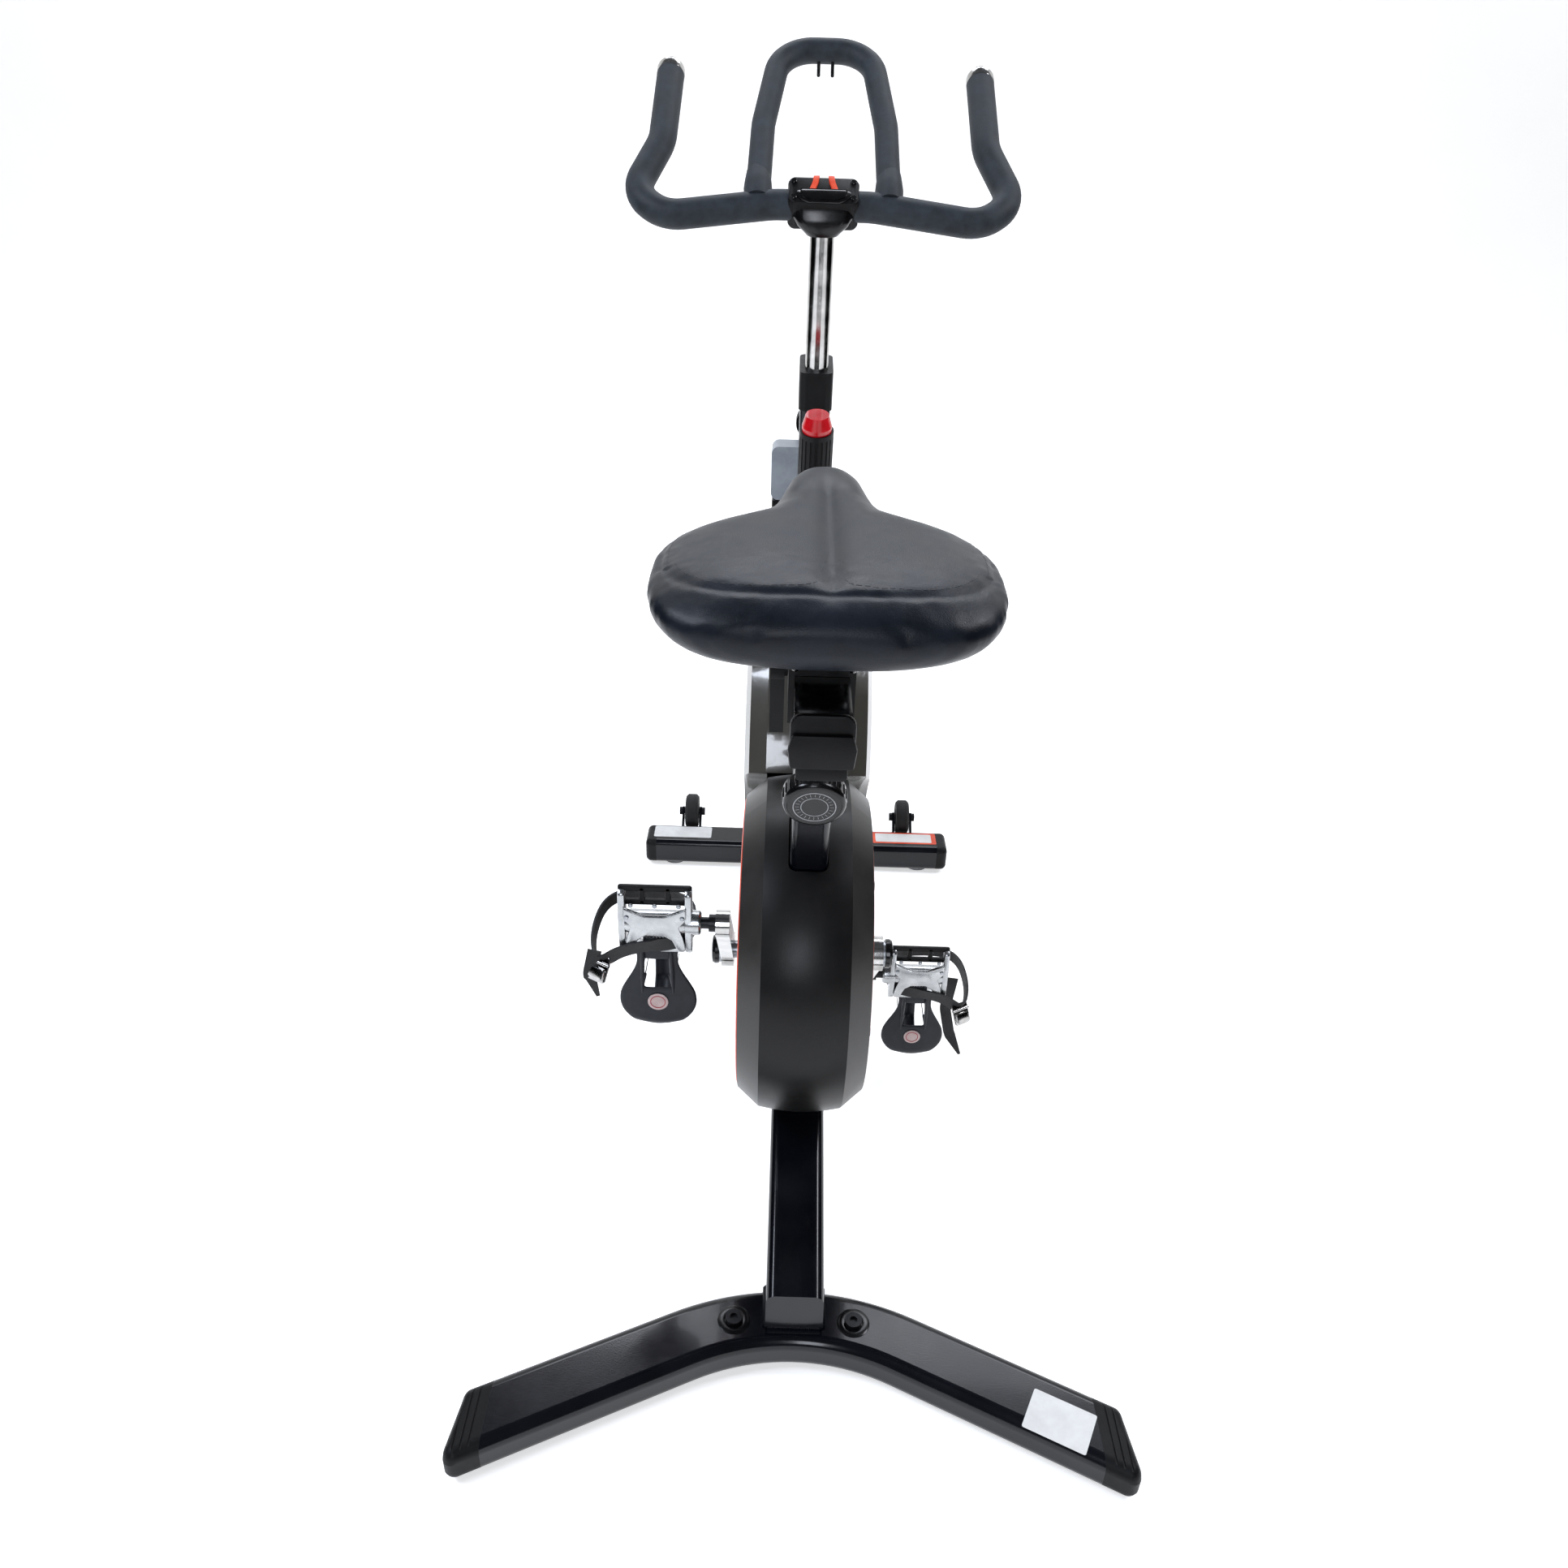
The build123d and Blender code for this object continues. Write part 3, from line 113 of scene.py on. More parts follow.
sweep_paint = surface("matt_white_sweep", "#f4f4f3", "#fafaf9", 0.8, 0.004, 0.02, (0.85, 0.95),
                      {"Specular IOR Level": 0.1, "Emission Color": colour("#ffffff"),
                       "Emission Strength": 0.55})
FLOOR_END = 2.5
BEND = 2
bend_angles = [math.radians(a) for a in range(10, 91, 10)]
outline = [(y, 0.0) for y in (-6, -3, 0, FLOOR_END)]
outline += [(FLOOR_END + BEND * math.sin(a), BEND - BEND * math.cos(a)) for a in bend_angles]
outline += [(FLOOR_END + BEND, z) for z in (4, 7)]
sweep_mesh = bpy.data.meshes.new("studio_sweep")
sweep_mesh.from_pydata([(x, y, z) for y, z in outline for x in (-9, 9)], [],
                       [(2 * k, 2 * k + 1, 2 * k + 3, 2 * k + 2) for k in range(len(outline) - 1)])
sweep_mesh.shade_smooth()
sweep_mesh.materials.append(sweep_paint)
backdrop = bpy.data.objects.new("studio_sweep", sweep_mesh)
scene.collection.objects.link(backdrop)

world = bpy.data.worlds.new("studio")
scene.world = world
world.use_nodes = True
world.node_tree.nodes["Background"].inputs["Color"].default_value = colour("#e8edf5")
world.node_tree.nodes["Background"].inputs["Strength"].default_value = 0.12
PANELS = [((-1.9, -0.6, 2.7), (1.5, 0.8), 60, "#eaf1ff"), ((1.9, 0.2, 2.5), (0.9, 1.1), 36, "#f6f8ff"),
          ((0.2, 2.4, 3.4), (3.0, 1.0), 55, "#f2f6ff"), ((-0.2, -3.0, 1.9), (0.45, 1.5), 22, "#f0f5ff")]
for spot, size, power, tint in PANELS:
    lamp = bpy.data.lights.new("panel", "AREA")
    lamp.shape = "RECTANGLE"
    lamp.size, lamp.size_y = size
    lamp.energy = power
    lamp.color = colour(tint)[:3]
    panel = bpy.data.objects.new("panel", lamp)
    panel.location = spot
    panel.rotation_euler = (Vector((0, 0, 0.6)) - Vector(spot)).to_track_quat("-Z", "Y").to_euler()
    scene.collection.objects.link(panel)
flag_felt = surface("black_flag_felt", "#020202", "#040404", 0.05, 0.002, 0.1, (0.9, 1.0),
                    {"Specular IOR Level": 0.0})
FLAG_OUT = 1.3
FLAG_CORNERS = [(-1.6, 0.25), (0.9, 0.25), (0.9, 1.7), (-1.6, 1.7)]
for side in (-1, 1):
    flag_mesh = bpy.data.meshes.new("black_flag")
    flag_mesh.from_pydata([(side * FLAG_OUT, y, z) for y, z in FLAG_CORNERS], [], [(0, 1, 2, 3)])
    flag_mesh.materials.append(flag_felt)
    flag = bpy.data.objects.new("black_flag", flag_mesh)
    flag.visible_camera = flag.visible_shadow = flag.visible_diffuse = False
    scene.collection.objects.link(flag)


def paint(material, *names):
    """Gives CAD pieces their finish."""
    for name in names:
        nodes[name].data.materials.clear()
        nodes[name].data.materials.append(material)


# ---- Frame tubes and feet --------------------------------------------------------------
# Welded steel tube, sprayed and baked with a gloss black powder coat.
# The thick coat has a faint orange-peel ripple and gathers a little dust.
gloss_coat = surface("gloss_black_powder_coat", "#04050a", "#0a0c13", 0.09, 0.0016, 0.05, (0.12, 0.22),
                     {"Specular IOR Level": 0.3, "Coat Weight": 0.15, "Coat Roughness": 0.06})
paint(gloss_coat, "rear_foot", "front_foot", "rear_leg", "front_leg", "bottom_bracket_shell", "seat_tube",
      "top_tube", "front_column", "fork_plates", "idler_arm")

# ---- Moulded fittings ------------------------------------------------------------------
# Caps, guides, knobs and covers, moulded in black nylon or ABS with a fine spark texture.
# Edges that hands and shoes rub are slightly shinier.
nylon = surface("moulded_nylon", "#070708", "#0f0f10", 0.02, 0.0009, 0.25, (0.38, 0.55),
                {"Specular IOR Level": 0.2})
paint(nylon, "rear_foot_caps", "front_foot_caps", "seat_tube_sleeve", "column_sleeve", "resistance_knob",
      "column_pin", "saddle_slider", "slider_lever")
gloss_nylon = surface("gloss_moulded_nylon", "#060607", "#0d0d0e", 0.02, 0.0012, 0.06, (0.14, 0.24),
                      {"Specular IOR Level": 0.4})
paint(gloss_nylon, "seat_pin")
band_shell = surface("satin_moulded_shell", "#080808", "#100f0f", 0.07, 0.0011, 0.14, (0.3, 0.4),
                     {"Specular IOR Level": 0.25})
paint(band_shell, "drum_band")
side_shell = surface("smooth_moulded_shell", "#211f1e", "#2e2c2a", 0.1, 0.0016, 0.06, (0.3, 0.42))
paint(side_shell, "drum_cover_left", "drum_cover_right")
# The wheel covers are glossy black plastic; their grey base colour is a painted reflection of the white
# floor.
reflection_grey_shell = surface("gloss_shell_painted_reflection_grey", "#474540", "#504e48", 0.12, 0.004, 0.03, (0.08, 0.16),
                      {"Coat Weight": 0.8, "Coat Roughness": 0.05})
paint(reflection_grey_shell, "wheel_cover_left", "wheel_cover_right")
pale_abs = surface("pale_grey_abs", "#868d95", "#a3a9b0", 0.03, 0.001, 0.08, (0.28, 0.4))
paint(pale_abs, "sensor_box")
pad_grey = surface("grey_pad_rubber", "#5d5f62", "#808386", 0.012, 0.0009, 0.2, (0.55, 0.7))
paint(pad_grey, "leveler_rear_left", "leveler_rear_right", "leveler_front_left", "leveler_front_right")
red_abs = surface("red_moulded_cap", "#b3000f", "#cc0a1a", 0.02, 0.001, 0.05, (0.18, 0.3),
                  {"Coat Weight": 0.4})
paint(red_abs, "brake_plunger")
rubber = surface("moulded_rubber", "#0d0d0d", "#1b1b1a", 0.012, 0.0008, 0.25, (0.65, 0.85))
paint(rubber, "drive_belt", "transport_wheel_left", "transport_wheel_right")

# ---- Metal parts -----------------------------------------------------------------------
# Zinc-plated fasteners, a turned cast-iron flywheel, anodised pulleys and nickel-plated posts and cranks.
# Plating is cloudy in patches, turned faces carry fine tool marks. The foot bolts are blackened.
zinc = surface("zinc_plated_steel", "#8d9196", "#b6babf", 0.006, 0.0008, 0.1, (0.26, 0.4), {"Metallic": 1.0})
paint(zinc, "cover_screws", "shaft_bearings", "saddle_clamp", "idler_pulley", "flywheel_axle",
      "crank_axle", "magnet_bracket")
grey_iron = surface("turned_cast_iron", "#4a4b4d", "#6a6b6d", 0.03, 0.0015, 0.2, (0.35, 0.5),
                    {"Metallic": 1.0}, (0.1, 1, 1))
paint(grey_iron, "flywheel")
black_alloy = surface("black_anodised_alloy", "#141416", "#1e1f22", 0.02, 0.0008, 0.08, (0.3, 0.4),
                      {"Metallic": 0.6})
paint(black_alloy, "foot_bolts", "flywheel_pulley", "crank_pulley", "pedal_spindle_left",
      "pedal_spindle_right")
plated = surface("nickel_plated_steel", "#a9a8a6", "#d2d1cf", 0.02, 0.0012, 0.05, (0.08, 0.2),
                 {"Metallic": 1.0})
paint(plated, "crank_left", "crank_right", "handlebar_post", "seat_post")
cast_alloy = surface("cast_pedal_alloy", "#a6a8aa", "#c3c5c6", 0.02, 0.0012, 0.05, (0.2, 0.32),
                     {"Metallic": 1.0})
paint(cast_alloy, "pedal_body_left", "pedal_body_right")


def settle(piece):
    """The piece with its modifiers worked into a plain mesh."""
    bpy.context.view_layer.update()
    mesh = bpy.data.meshes.new_from_object(piece.evaluated_get(bpy.context.evaluated_depsgraph_get()))
    piece.modifiers.clear()
    piece.data = mesh
    return piece


def piece(name, shape, materials, body, sharp=35):
    """A finished piece from a bmesh, its faces outward, fixed to a body."""
    bmesh.ops.recalc_face_normals(shape, faces=shape.faces)
    mesh = bpy.data.meshes.new(name)
    shape.to_mesh(mesh)
    shape.free()
    for material in materials:
        mesh.materials.append(material)
    mesh.shade_smooth()
    mesh.set_sharp_from_angle(angle=math.radians(sharp))
    made = bpy.data.objects.new(name, mesh)
    scene.collection.objects.link(made)
    if body:
        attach(made, body)
    return made


def swept(shape, path, profile, up, closed=False, slot=0):
    """Draws a profile along a path. profile(k) gives the (side, up) points of the section at point k."""
    rings = []
    count = len(path)
    for k, point in enumerate(path):
        before = path[k - 1] if k or closed else point
        after = path[(k + 1) % count] if k < count - 1 or closed else point
        run = (after - before).normalized()
        up = (up - up.dot(run) * run).normalized()
        side = run.cross(up)
        rings.append([shape.verts.new(point + u * side + v * up) for u, v in profile(k)])
    pairs = list(zip(rings, rings[1:] + (rings[:1] if closed else [])))
    pairs = pairs if closed else pairs[:count - 1]
    for ring, following in pairs:
        size = len(ring)
        for j in range(size):
            face = shape.faces.new((ring[j], ring[(j + 1) % size], following[(j + 1) % size], following[j]))
            face.material_index = slot
    if not closed:
        for ring in (rings[0], rings[-1]):
            shape.faces.new(ring).material_index = slot


def circle(radius, sides=24):
    """Section points of a round bar."""
    return [(radius * math.cos(math.tau * j / sides), radius * math.sin(math.tau * j / sides))
            for j in range(sides)]


def rounded(corners, radii, step=0.005):
    """A path through corners, each one turned at its radius."""
    path = [corners[0]]
    for before, corner, after, radius in zip(corners, corners[1:], corners[2:], radii):
        back, on = (before - corner).normalized(), (after - corner).normalized()
        half = back.angle(on) / 2
        centre = corner + (back + on).normalized() * radius / math.sin(half)
        reach = radius / math.tan(half)
        start, end = corner + back * reach - centre, corner + on * reach - centre
        sweep_angle = start.angle(end)
        count = max(4, int(radius * sweep_angle / step))
        for k in range(count + 1):
            t = k / count
            bent = math.sin((1 - t) * sweep_angle) * start + math.sin(t * sweep_angle) * end
            path.append(centre + bent / math.sin(sweep_angle))
    path.append(corners[-1])
    filled = [path[0]]
    for point in path[1:]:
        gap = point - filled[-1]
        if gap.length < 1e-5:
            continue
        count = max(1, int(gap.length / (2 * step)))
        start = filled[-1].copy()
        filled += [start + gap * (k / count) for k in range(1, count + 1)]
    return filled


def turned(shape, profile, centre, axis, sides=32, slot=0):
    """A round part: (distance along the axis, radius) points turned about the axis."""
    axis = axis.normalized()
    side = axis.orthogonal().normalized()
    up = axis.cross(side)
    rings = []
    for along, radius in profile:
        hub = centre + along * axis
        rings.append([shape.verts.new(hub + radius * (math.cos(a) * side + math.sin(a) * up))
                      for a in (math.tau * j / sides for j in range(sides))])
    for ring, following in zip(rings, rings[1:]):
        for j in range(sides):
            face = shape.faces.new((ring[j], ring[(j + 1) % sides], following[(j + 1) % sides], following[j]))
            face.material_index = slot
    for ring in (rings[0], rings[-1]):
        shape.faces.new(ring).material_index = slot


def plate(shape, outline, thick, origin, right, up, edge=0.0008, slot=0):
    """An outline drawn on a plane, given thickness towards right x up, its edges softened."""
    own = bmesh.new()
    face = own.faces.new([own.verts.new(origin + u * right + v * up) for u, v in outline])
    grown = bmesh.ops.extrude_face_region(own, geom=[face])
    moved = [item for item in grown["geom"] if isinstance(item, bmesh.types.BMVert)]
    bmesh.ops.translate(own, verts=moved, vec=right.cross(up) * thick)
    bmesh.ops.recalc_face_normals(own, faces=own.faces)
    if edge:
        bmesh.ops.bevel(own, geom=own.edges[:], offset=edge, segments=2, affect="EDGES", profile=0.5)
    made = bpy.data.meshes.new("part")
    own.to_mesh(made)
    own.free()
    first = len(shape.faces)
    shape.from_mesh(made)
    shape.faces.ensure_lookup_table()
    for index in range(first, len(shape.faces)):
        shape.faces[index].material_index = slot
    bpy.data.meshes.remove(made)


def corner_box(width, height, radius, steps=5):
    """A rectangle with rounded corners as outline points around its middle."""
    points = []
    for turn_count, (sx, sy) in enumerate(((1, 1), (-1, 1), (-1, -1), (1, -1))):
        for k in range(steps + 1):
            a = math.pi / 2 * (turn_count + k / steps)
            points.append((sx * (width / 2 - radius) + radius * math.cos(a),
                           sy * (height / 2 - radius) + radius * math.sin(a)))
    return points


X, Y, Z = Vector((1, 0, 0)), Vector((0, 1, 0)), Vector((0, 0, 1))


def repeat(name, unit, spots, material, body, size=1.0):
    """Copies of a small part on points, each with its own direction, by Geometry Nodes, as one plain mesh."""
    source_mesh = bpy.data.meshes.new(name + "_unit")
    unit.to_mesh(source_mesh)
    unit.free()
    source_mesh.shade_smooth()
    source_mesh.set_sharp_from_angle(angle=math.radians(35))
    source = bpy.data.objects.new(name + "_unit", source_mesh)
    points = bpy.data.meshes.new(name)
    points.from_pydata([place for place, _, _ in spots], [], [])
    for key, column in (("facing", 1), ("heading", 2)):
        store = points.attributes.new(key, "FLOAT_VECTOR", "POINT")
        store.data.foreach_set("vector", [value for spot in spots for value in spot[column]])
    made = bpy.data.objects.new(name, points)
    scene.collection.objects.link(made)
    tree = bpy.data.node_groups.new(name, "GeometryNodeTree")
    made_of = {}
    for label, kind, way in (("Points", "NodeSocketGeometry", "INPUT"), ("Part", "NodeSocketObject", "INPUT"),
                             ("Size", "NodeSocketFloat", "INPUT"), ("Finish", "NodeSocketMaterial", "INPUT"),
                             ("Copies", "NodeSocketGeometry", "OUTPUT")):
        made_of[label] = tree.interface.new_socket(label, in_out=way, socket_type=kind).identifier
    start = tree.nodes.new("NodeGroupInput")
    part = add(tree, "GeometryNodeObjectInfo", None, {"Object": start.outputs["Part"]})
    facing = add(tree, "GeometryNodeInputNamedAttribute", {"data_type": "FLOAT_VECTOR", "Name": "facing"})
    heading = add(tree, "GeometryNodeInputNamedAttribute", {"data_type": "FLOAT_VECTOR", "Name": "heading"})
    upright = add(tree, "FunctionNodeAlignRotationToVector", {"axis": "Z"},
                  {"Vector": facing.outputs["Attribute"]})
    aimed = add(tree, "FunctionNodeAlignRotationToVector", {"axis": "X", "pivot_axis": "Z"},
                {"Rotation": upright.outputs["Rotation"], "Vector": heading.outputs["Attribute"]})
    copies = add(tree, "GeometryNodeInstanceOnPoints", None,
                 {"Points": start.outputs["Points"], "Instance": part.outputs["Geometry"],
                  "Rotation": aimed.outputs["Rotation"], "Scale": start.outputs["Size"]})
    real = add(tree, "GeometryNodeRealizeInstances", None, {"Geometry": copies.outputs["Instances"]})
    dressed = add(tree, "GeometryNodeSetMaterial", None,
                  {"Geometry": real.outputs["Geometry"], "Material": start.outputs["Finish"]})
    add(tree, "NodeGroupOutput", None, {"Copies": dressed.outputs["Geometry"]})
    modifier = made.modifiers.new("copies", "NODES")
    modifier.node_group = tree
    modifier[made_of["Part"]] = source
    modifier[made_of["Size"]] = size
    modifier[made_of["Finish"]] = material
    settle(made)
    bpy.data.objects.remove(source)
    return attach(made, body)


def capsule(length, radius, sides=8):
    """A short round-ended bar along X, resting on its middle."""
    shape = bmesh.new()
    profile = [(-length / 2, radius * 0.3), (-length / 2 + radius * 0.4, radius * 0.85),
               (-length / 2 + radius, radius), (length / 2 - radius, radius),
               (length / 2 - radius * 0.4, radius * 0.85), (length / 2, radius * 0.3)]
    turned(shape, profile, Vector((0, 0, 0)), X, sides)
    bmesh.ops.recalc_face_normals(shape, faces=shape.faces)
    return shape


# ---- Saddle pad ------------------------------------------------------------------------
# Foam on a stiff shell, pulled tight in black leatherette and stapled underneath.
# The cover is blown out by cloth pressure from a slightly smaller form, then sewn along the rim.
# Each section of the form is (y, half width, low z, high z), from the tail to the nose.
leatherette = surface("black_leatherette", "#10141b", "#1b2029", 0.035, 0.0010, 0.35, (0.30, 0.42),
                      {"Specular IOR Level": 0.2})
PAD_SECTIONS = [(-0.486, 0.046, 0.836, 0.853), (-0.482, 0.078, 0.827, 0.859),
                (-0.474, 0.103, 0.818, 0.8645), (-0.460, 0.120, 0.811, 0.870),
                (-0.440, 0.131, 0.807, 0.8745), (-0.412, 0.1375, 0.8058, 0.877),
                (-0.385, 0.139, 0.8058, 0.878), (-0.358, 0.1385, 0.8058, 0.879),
                (-0.333, 0.133, 0.8058, 0.880), (-0.315, 0.123, 0.806, 0.881),
                (-0.300, 0.105, 0.807, 0.882), (-0.288, 0.080, 0.809, 0.883), (-0.275, 0.061, 0.812, 0.884),
                (-0.260, 0.051, 0.817, 0.885), (-0.243, 0.044, 0.824, 0.887),
                (-0.226, 0.0380, 0.833, 0.888), (-0.211, 0.0325, 0.843, 0.888),
                (-0.198, 0.025, 0.852, 0.887), (-0.190, 0.015, 0.860, 0.884)]
form = bmesh.new()
rings = []
for y, half, low, high in PAD_SECTIONS:
    ring = []
    for j in range(48):
        a = math.tau * j / 48
        side, rise = math.cos(a), math.sin(a)
        x = (half - 0.001) * math.copysign(abs(side) ** (0.72 if rise < 0 else 0.78), side)
        rim = low + 0.60 * (high - low)
        z = rim + ((high - rim if rise > 0 else rim - low) - 0.0015) * math.copysign(abs(rise) ** 0.9, rise)
        ring.append(form.verts.new((x, y, z - 0.006 * (x / 0.135) ** 2 * max(0.0, rise))))
    rings.append(ring)
for ring, following in zip(rings, rings[1:]):
    for j in range(48):
        form.faces.new((ring[j], ring[(j + 1) % 48], following[(j + 1) % 48], following[j]))
form.faces.new(rings[0])
form.faces.new(rings[-1])
pad = piece("saddle_cover", form, [leatherette], "saddle", 180)
remesh = pad.modifiers.new("even_mesh", "REMESH")
remesh.mode = "VOXEL"
remesh.voxel_size = 0.005
remesh.use_smooth_shade = True
smooth = pad.modifiers.new("soften", "SMOOTH")
smooth.factor = 0.5
smooth.iterations = 6
settle(pad)
held = pad.vertex_groups.new(name="stapled")
held.add([v.index for v in pad.data.vertices if v.co.z < 0.812], 1.0, "REPLACE")
start = [v.co.copy() for v in pad.data.vertices]
cloth = pad.modifiers.new("cover", "CLOTH")
cloth.settings.quality = 6
cloth.settings.mass = 0.3
cloth.settings.tension_stiffness = 25
cloth.settings.compression_stiffness = 25
cloth.settings.bending_stiffness = 4
cloth.settings.use_pressure = True
cloth.settings.uniform_pressure_force = 4
cloth.settings.vertex_group_mass = "stapled"
cloth.settings.effector_weights.gravity = 0
cloth.point_cache.frame_start = 1
cloth.point_cache.frame_end = 20
for step in range(1, 21):
    scene.frame_set(step)
settle(pad)
scene.frame_set(1)
for vertex, before in zip(pad.data.vertices, start):
    moved = vertex.co - before
    vertex.co = before + moved * min(1.0, 0.005 / max(moved.length, 1e-9))
finer = pad.modifiers.new("finer", "SUBSURF")
finer.levels = finer.render_levels = 1
settle(pad)


def rim_height(x, y):
    """Height of the sewn rim: high over the tail, lower round the wings, rising along the nose."""
    tail = 0.009 * max(0.0, 1 - (x / 0.135) ** 2) * (y < -0.40)
    return 0.8625 + tail + 0.012 * max(0.0, min(1.0, (y + 0.31) / 0.10))


normals = [v.normal.copy() for v in pad.data.vertices]
for vertex, normal in zip(pad.data.vertices, normals):
    x, y, z = vertex.co
    along = max(0.0, min(1.0, (y + 0.475) / 0.05)) * max(0.0, min(1.0, (-0.205 - y) / 0.05))
    sink = 0.0075 * math.exp(-abs((x - 0.002) / 0.012) ** 1.5) * along * max(0.0, normal.z)
    seam = 0.0013 * math.exp(-((z - rim_height(x, y)) / 0.0014) ** 2)
    near_rim = math.exp(-((z - rim_height(x, y)) / 0.012) ** 2)
    pucker = 0.0005 * near_rim * noise.noise(Vector((x, y, z)) * 90)
    seat_dent = math.exp(-((abs(x) - 0.045) / 0.022) ** 2 - ((y + 0.43) / 0.022) ** 2)
    dents = 0.0016 * seat_dent * max(0.0, normal.z)
    crease = dents + 0.0006 * noise.noise(Vector((x * 20, y * 16, z * 20)) + Vector((3.1, 0.4, 1.7)))
    vertex.co -= normal * (sink + seam + pucker + crease)
pad.data.materials.clear()
pad.data.materials.append(leatherette)
pad.data.shade_smooth()
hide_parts("saddle_pad")

# ---- Saddle stitching ------------------------------------------------------------------
# One row of black polyester lockstitch just above the rim seam, sunk a little into the cover.
thread = surface("polyester_thread", "#1b1c1f", "#2a2b2f", 0.003, 0.0006, 0.4, (0.5, 0.65))
caster = bmesh.new()
caster.from_mesh(pad.data)
hull = BVHTree.FromBMesh(caster)
caster.free()
trail = []
heart = Vector((0, -0.37, 0))
ABOVE_RIM = 0.0028
LOOKS = 720
for k in range(LOOKS):
    a = math.tau * k / LOOKS
    out = Vector((math.cos(a), math.sin(a), 0))
    near = heart + out * 0.12
    height = rim_height(near.x, near.y) + ABOVE_RIM
    hit, normal, _, _ = hull.ray_cast(heart + Z * height + out * 0.4, -out)
    if hit:
        trail.append((hit, normal))
STITCH_PITCH = 0.0055
stitches = []
last = None
for (hit, normal), (ahead_hit, _) in zip(trail, trail[1:] + trail[:1]):
    if last is None or (hit - last).length > STITCH_PITCH:
        stitches.append((hit - normal * 0.0001, normal, ahead_hit - hit))
        last = hit
repeat("saddle_stitches", capsule(0.0042, 0.00035, 6), stitches, thread, "saddle")

# ---- Saddle clamp hardware -------------------------------------------------------------
# Two pressed steel straps under the saddle, each drawn down by a pair of zinc-plated bolts.
# The straps are painted black, the bolt heads are left bright.
STRAPS_Y = (-0.386, -0.300)
STRAP_Z = 0.7915
clamp_straps = bmesh.new()
for y in STRAPS_Y:
    plate(clamp_straps, corner_box(0.052, 0.008, 0.003), 0.014, Vector((0, y - 0.007, STRAP_Z)), X, Z, 0.001)
    lug = Vector((0, y - 0.005, STRAP_Z + 0.006))
    plate(clamp_straps, corner_box(0.0416, 0.006, 0.002), 0.010, lug, X, Z, 0.0006)
piece("saddle_clamp_straps", clamp_straps, [gloss_coat], "saddle")
bolts = bmesh.new()
bolt_head = [(0, 0.0035), (0, 0.0045), (0.003, 0.0045), (0.0045, 0.0032), (0.0045, 0.001)]
for side in (-1, 1):
    for y in STRAPS_Y:
        turned(bolts, bolt_head, Vector((side * 0.018, y - 0.007, STRAP_Z)), -Y, 16)
piece("saddle_clamp_bolts", bolts, [zinc], "saddle")

# ---- Saddle shell and rails ------------------------------------------------------------
# Moulded shell that the pad's cover is stapled to, carried by two bent steel rails.
# The rails are clipped into sockets front and back and painted black.
shell = bmesh.new()
right_edge = [(0.016, -0.229), (0.030, -0.282), (0.062, -0.318), (0.084, -0.340), (0.094, -0.376),
              (0.082, -0.406), (0.058, -0.419)]
left_edge = [(-x, y) for x, y in reversed(right_edge)]
plate(shell, right_edge + left_edge, 0.0052, Vector((0, 0, 0.8002)), X, Y, 0.0022)
for side in (-1, 1):
    x = side * 0.022
    corners = [(-0.413, 0.803), (-0.411, 0.790), (-0.269, 0.790), (-0.267, 0.803)]
    rail = rounded([Vector((x, y, z)) for y, z in corners], [0.006, 0.006], 0.002)
    swept(shell, rail, lambda k: circle(0.0035, 16), X, slot=1)
    for y in (-0.412, -0.268):
        plate(shell, corner_box(0.013, 0.013, 0.003), 0.006, Vector((x, y, 0.7955)), X, Y, 0.001)
base = piece("saddle_shell", shell, [nylon, gloss_coat], "saddle")
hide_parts("saddle_base")

# ---- Slider rail end caps --------------------------------------------------------------
# Moulded black caps pushed over both ends of the saddle's slider rail.
# The rear one has a raised rounded pad with a stepped lower lip.
caps = bmesh.new()
for y, thick in ((-0.447, 0.006), (-0.2245, 0.003)):
    plate(caps, corner_box(0.050, 0.043, 0.009), thick, Vector((0, y, 0.7505)), X, Z, 0.0018)
raised_pad = [(-0.0245, 0.728), (0.0245, 0.728), (0.0265, 0.745), (0.023, 0.757), (-0.023, 0.757),
              (-0.0265, 0.745)]
plate(caps, raised_pad, 0.005, Vector((0, -0.4525, 0)), X, Z, 0.002)
plate(caps, corner_box(0.040, 0.012, 0.004), 0.004, Vector((0, -0.452, 0.7235)), X, Z, 0.001)
piece("rail_end_caps", caps, [nylon], "seat_mast")

# ---- Seat pull knob face ---------------------------------------------------------------
# Thin pad-printed rings on the glossy face of the pull knob, with a dished centre.
print_ink = surface("pale_print", "#8f9092", "#a5a6a8", 0.004, 0.0005, 0.05, (0.4, 0.5))
lean = math.radians(19)
seat_up = Vector((0, -math.sin(lean), math.cos(lean)))
seat_back = Vector((0, -math.cos(lean), -math.sin(lean)))
knob_face = Vector((0, -0.147, 0.314)) + seat_up * 0.352 + seat_back * (0.036 + 0.042)
rings_mesh = bmesh.new()
for outer, inner in ((0.0195, 0.0186), (0.0125, 0.0118)):
    band = [(-0.0004, inner), (0.0002, inner), (0.0002, outer), (-0.0004, outer), (-0.0004, inner)]
    turned(rings_mesh, band, knob_face, seat_back, 56)
piece("knob_rings", rings_mesh, [print_ink], "seat_pull")
ticks = []
for k in range(24):
    a = math.tau * k / 24
    arm = X * math.cos(a) + seat_up * math.sin(a)
    ticks.append((knob_face + arm * 0.0156, seat_back, arm))
repeat("knob_marks", capsule(0.0034, 0.00025, 6), ticks, print_ink, "seat_pull")
grips = []
for k in range(28):
    a = math.tau * k / 28
    arm = X * math.cos(a) + seat_up * math.sin(a)
    grips.append((knob_face - seat_back * 0.0115 + arm * 0.0285, arm, seat_back))
repeat("knob_grip_ribs", capsule(0.012, 0.0009, 8), grips, gloss_nylon, "seat_pull")

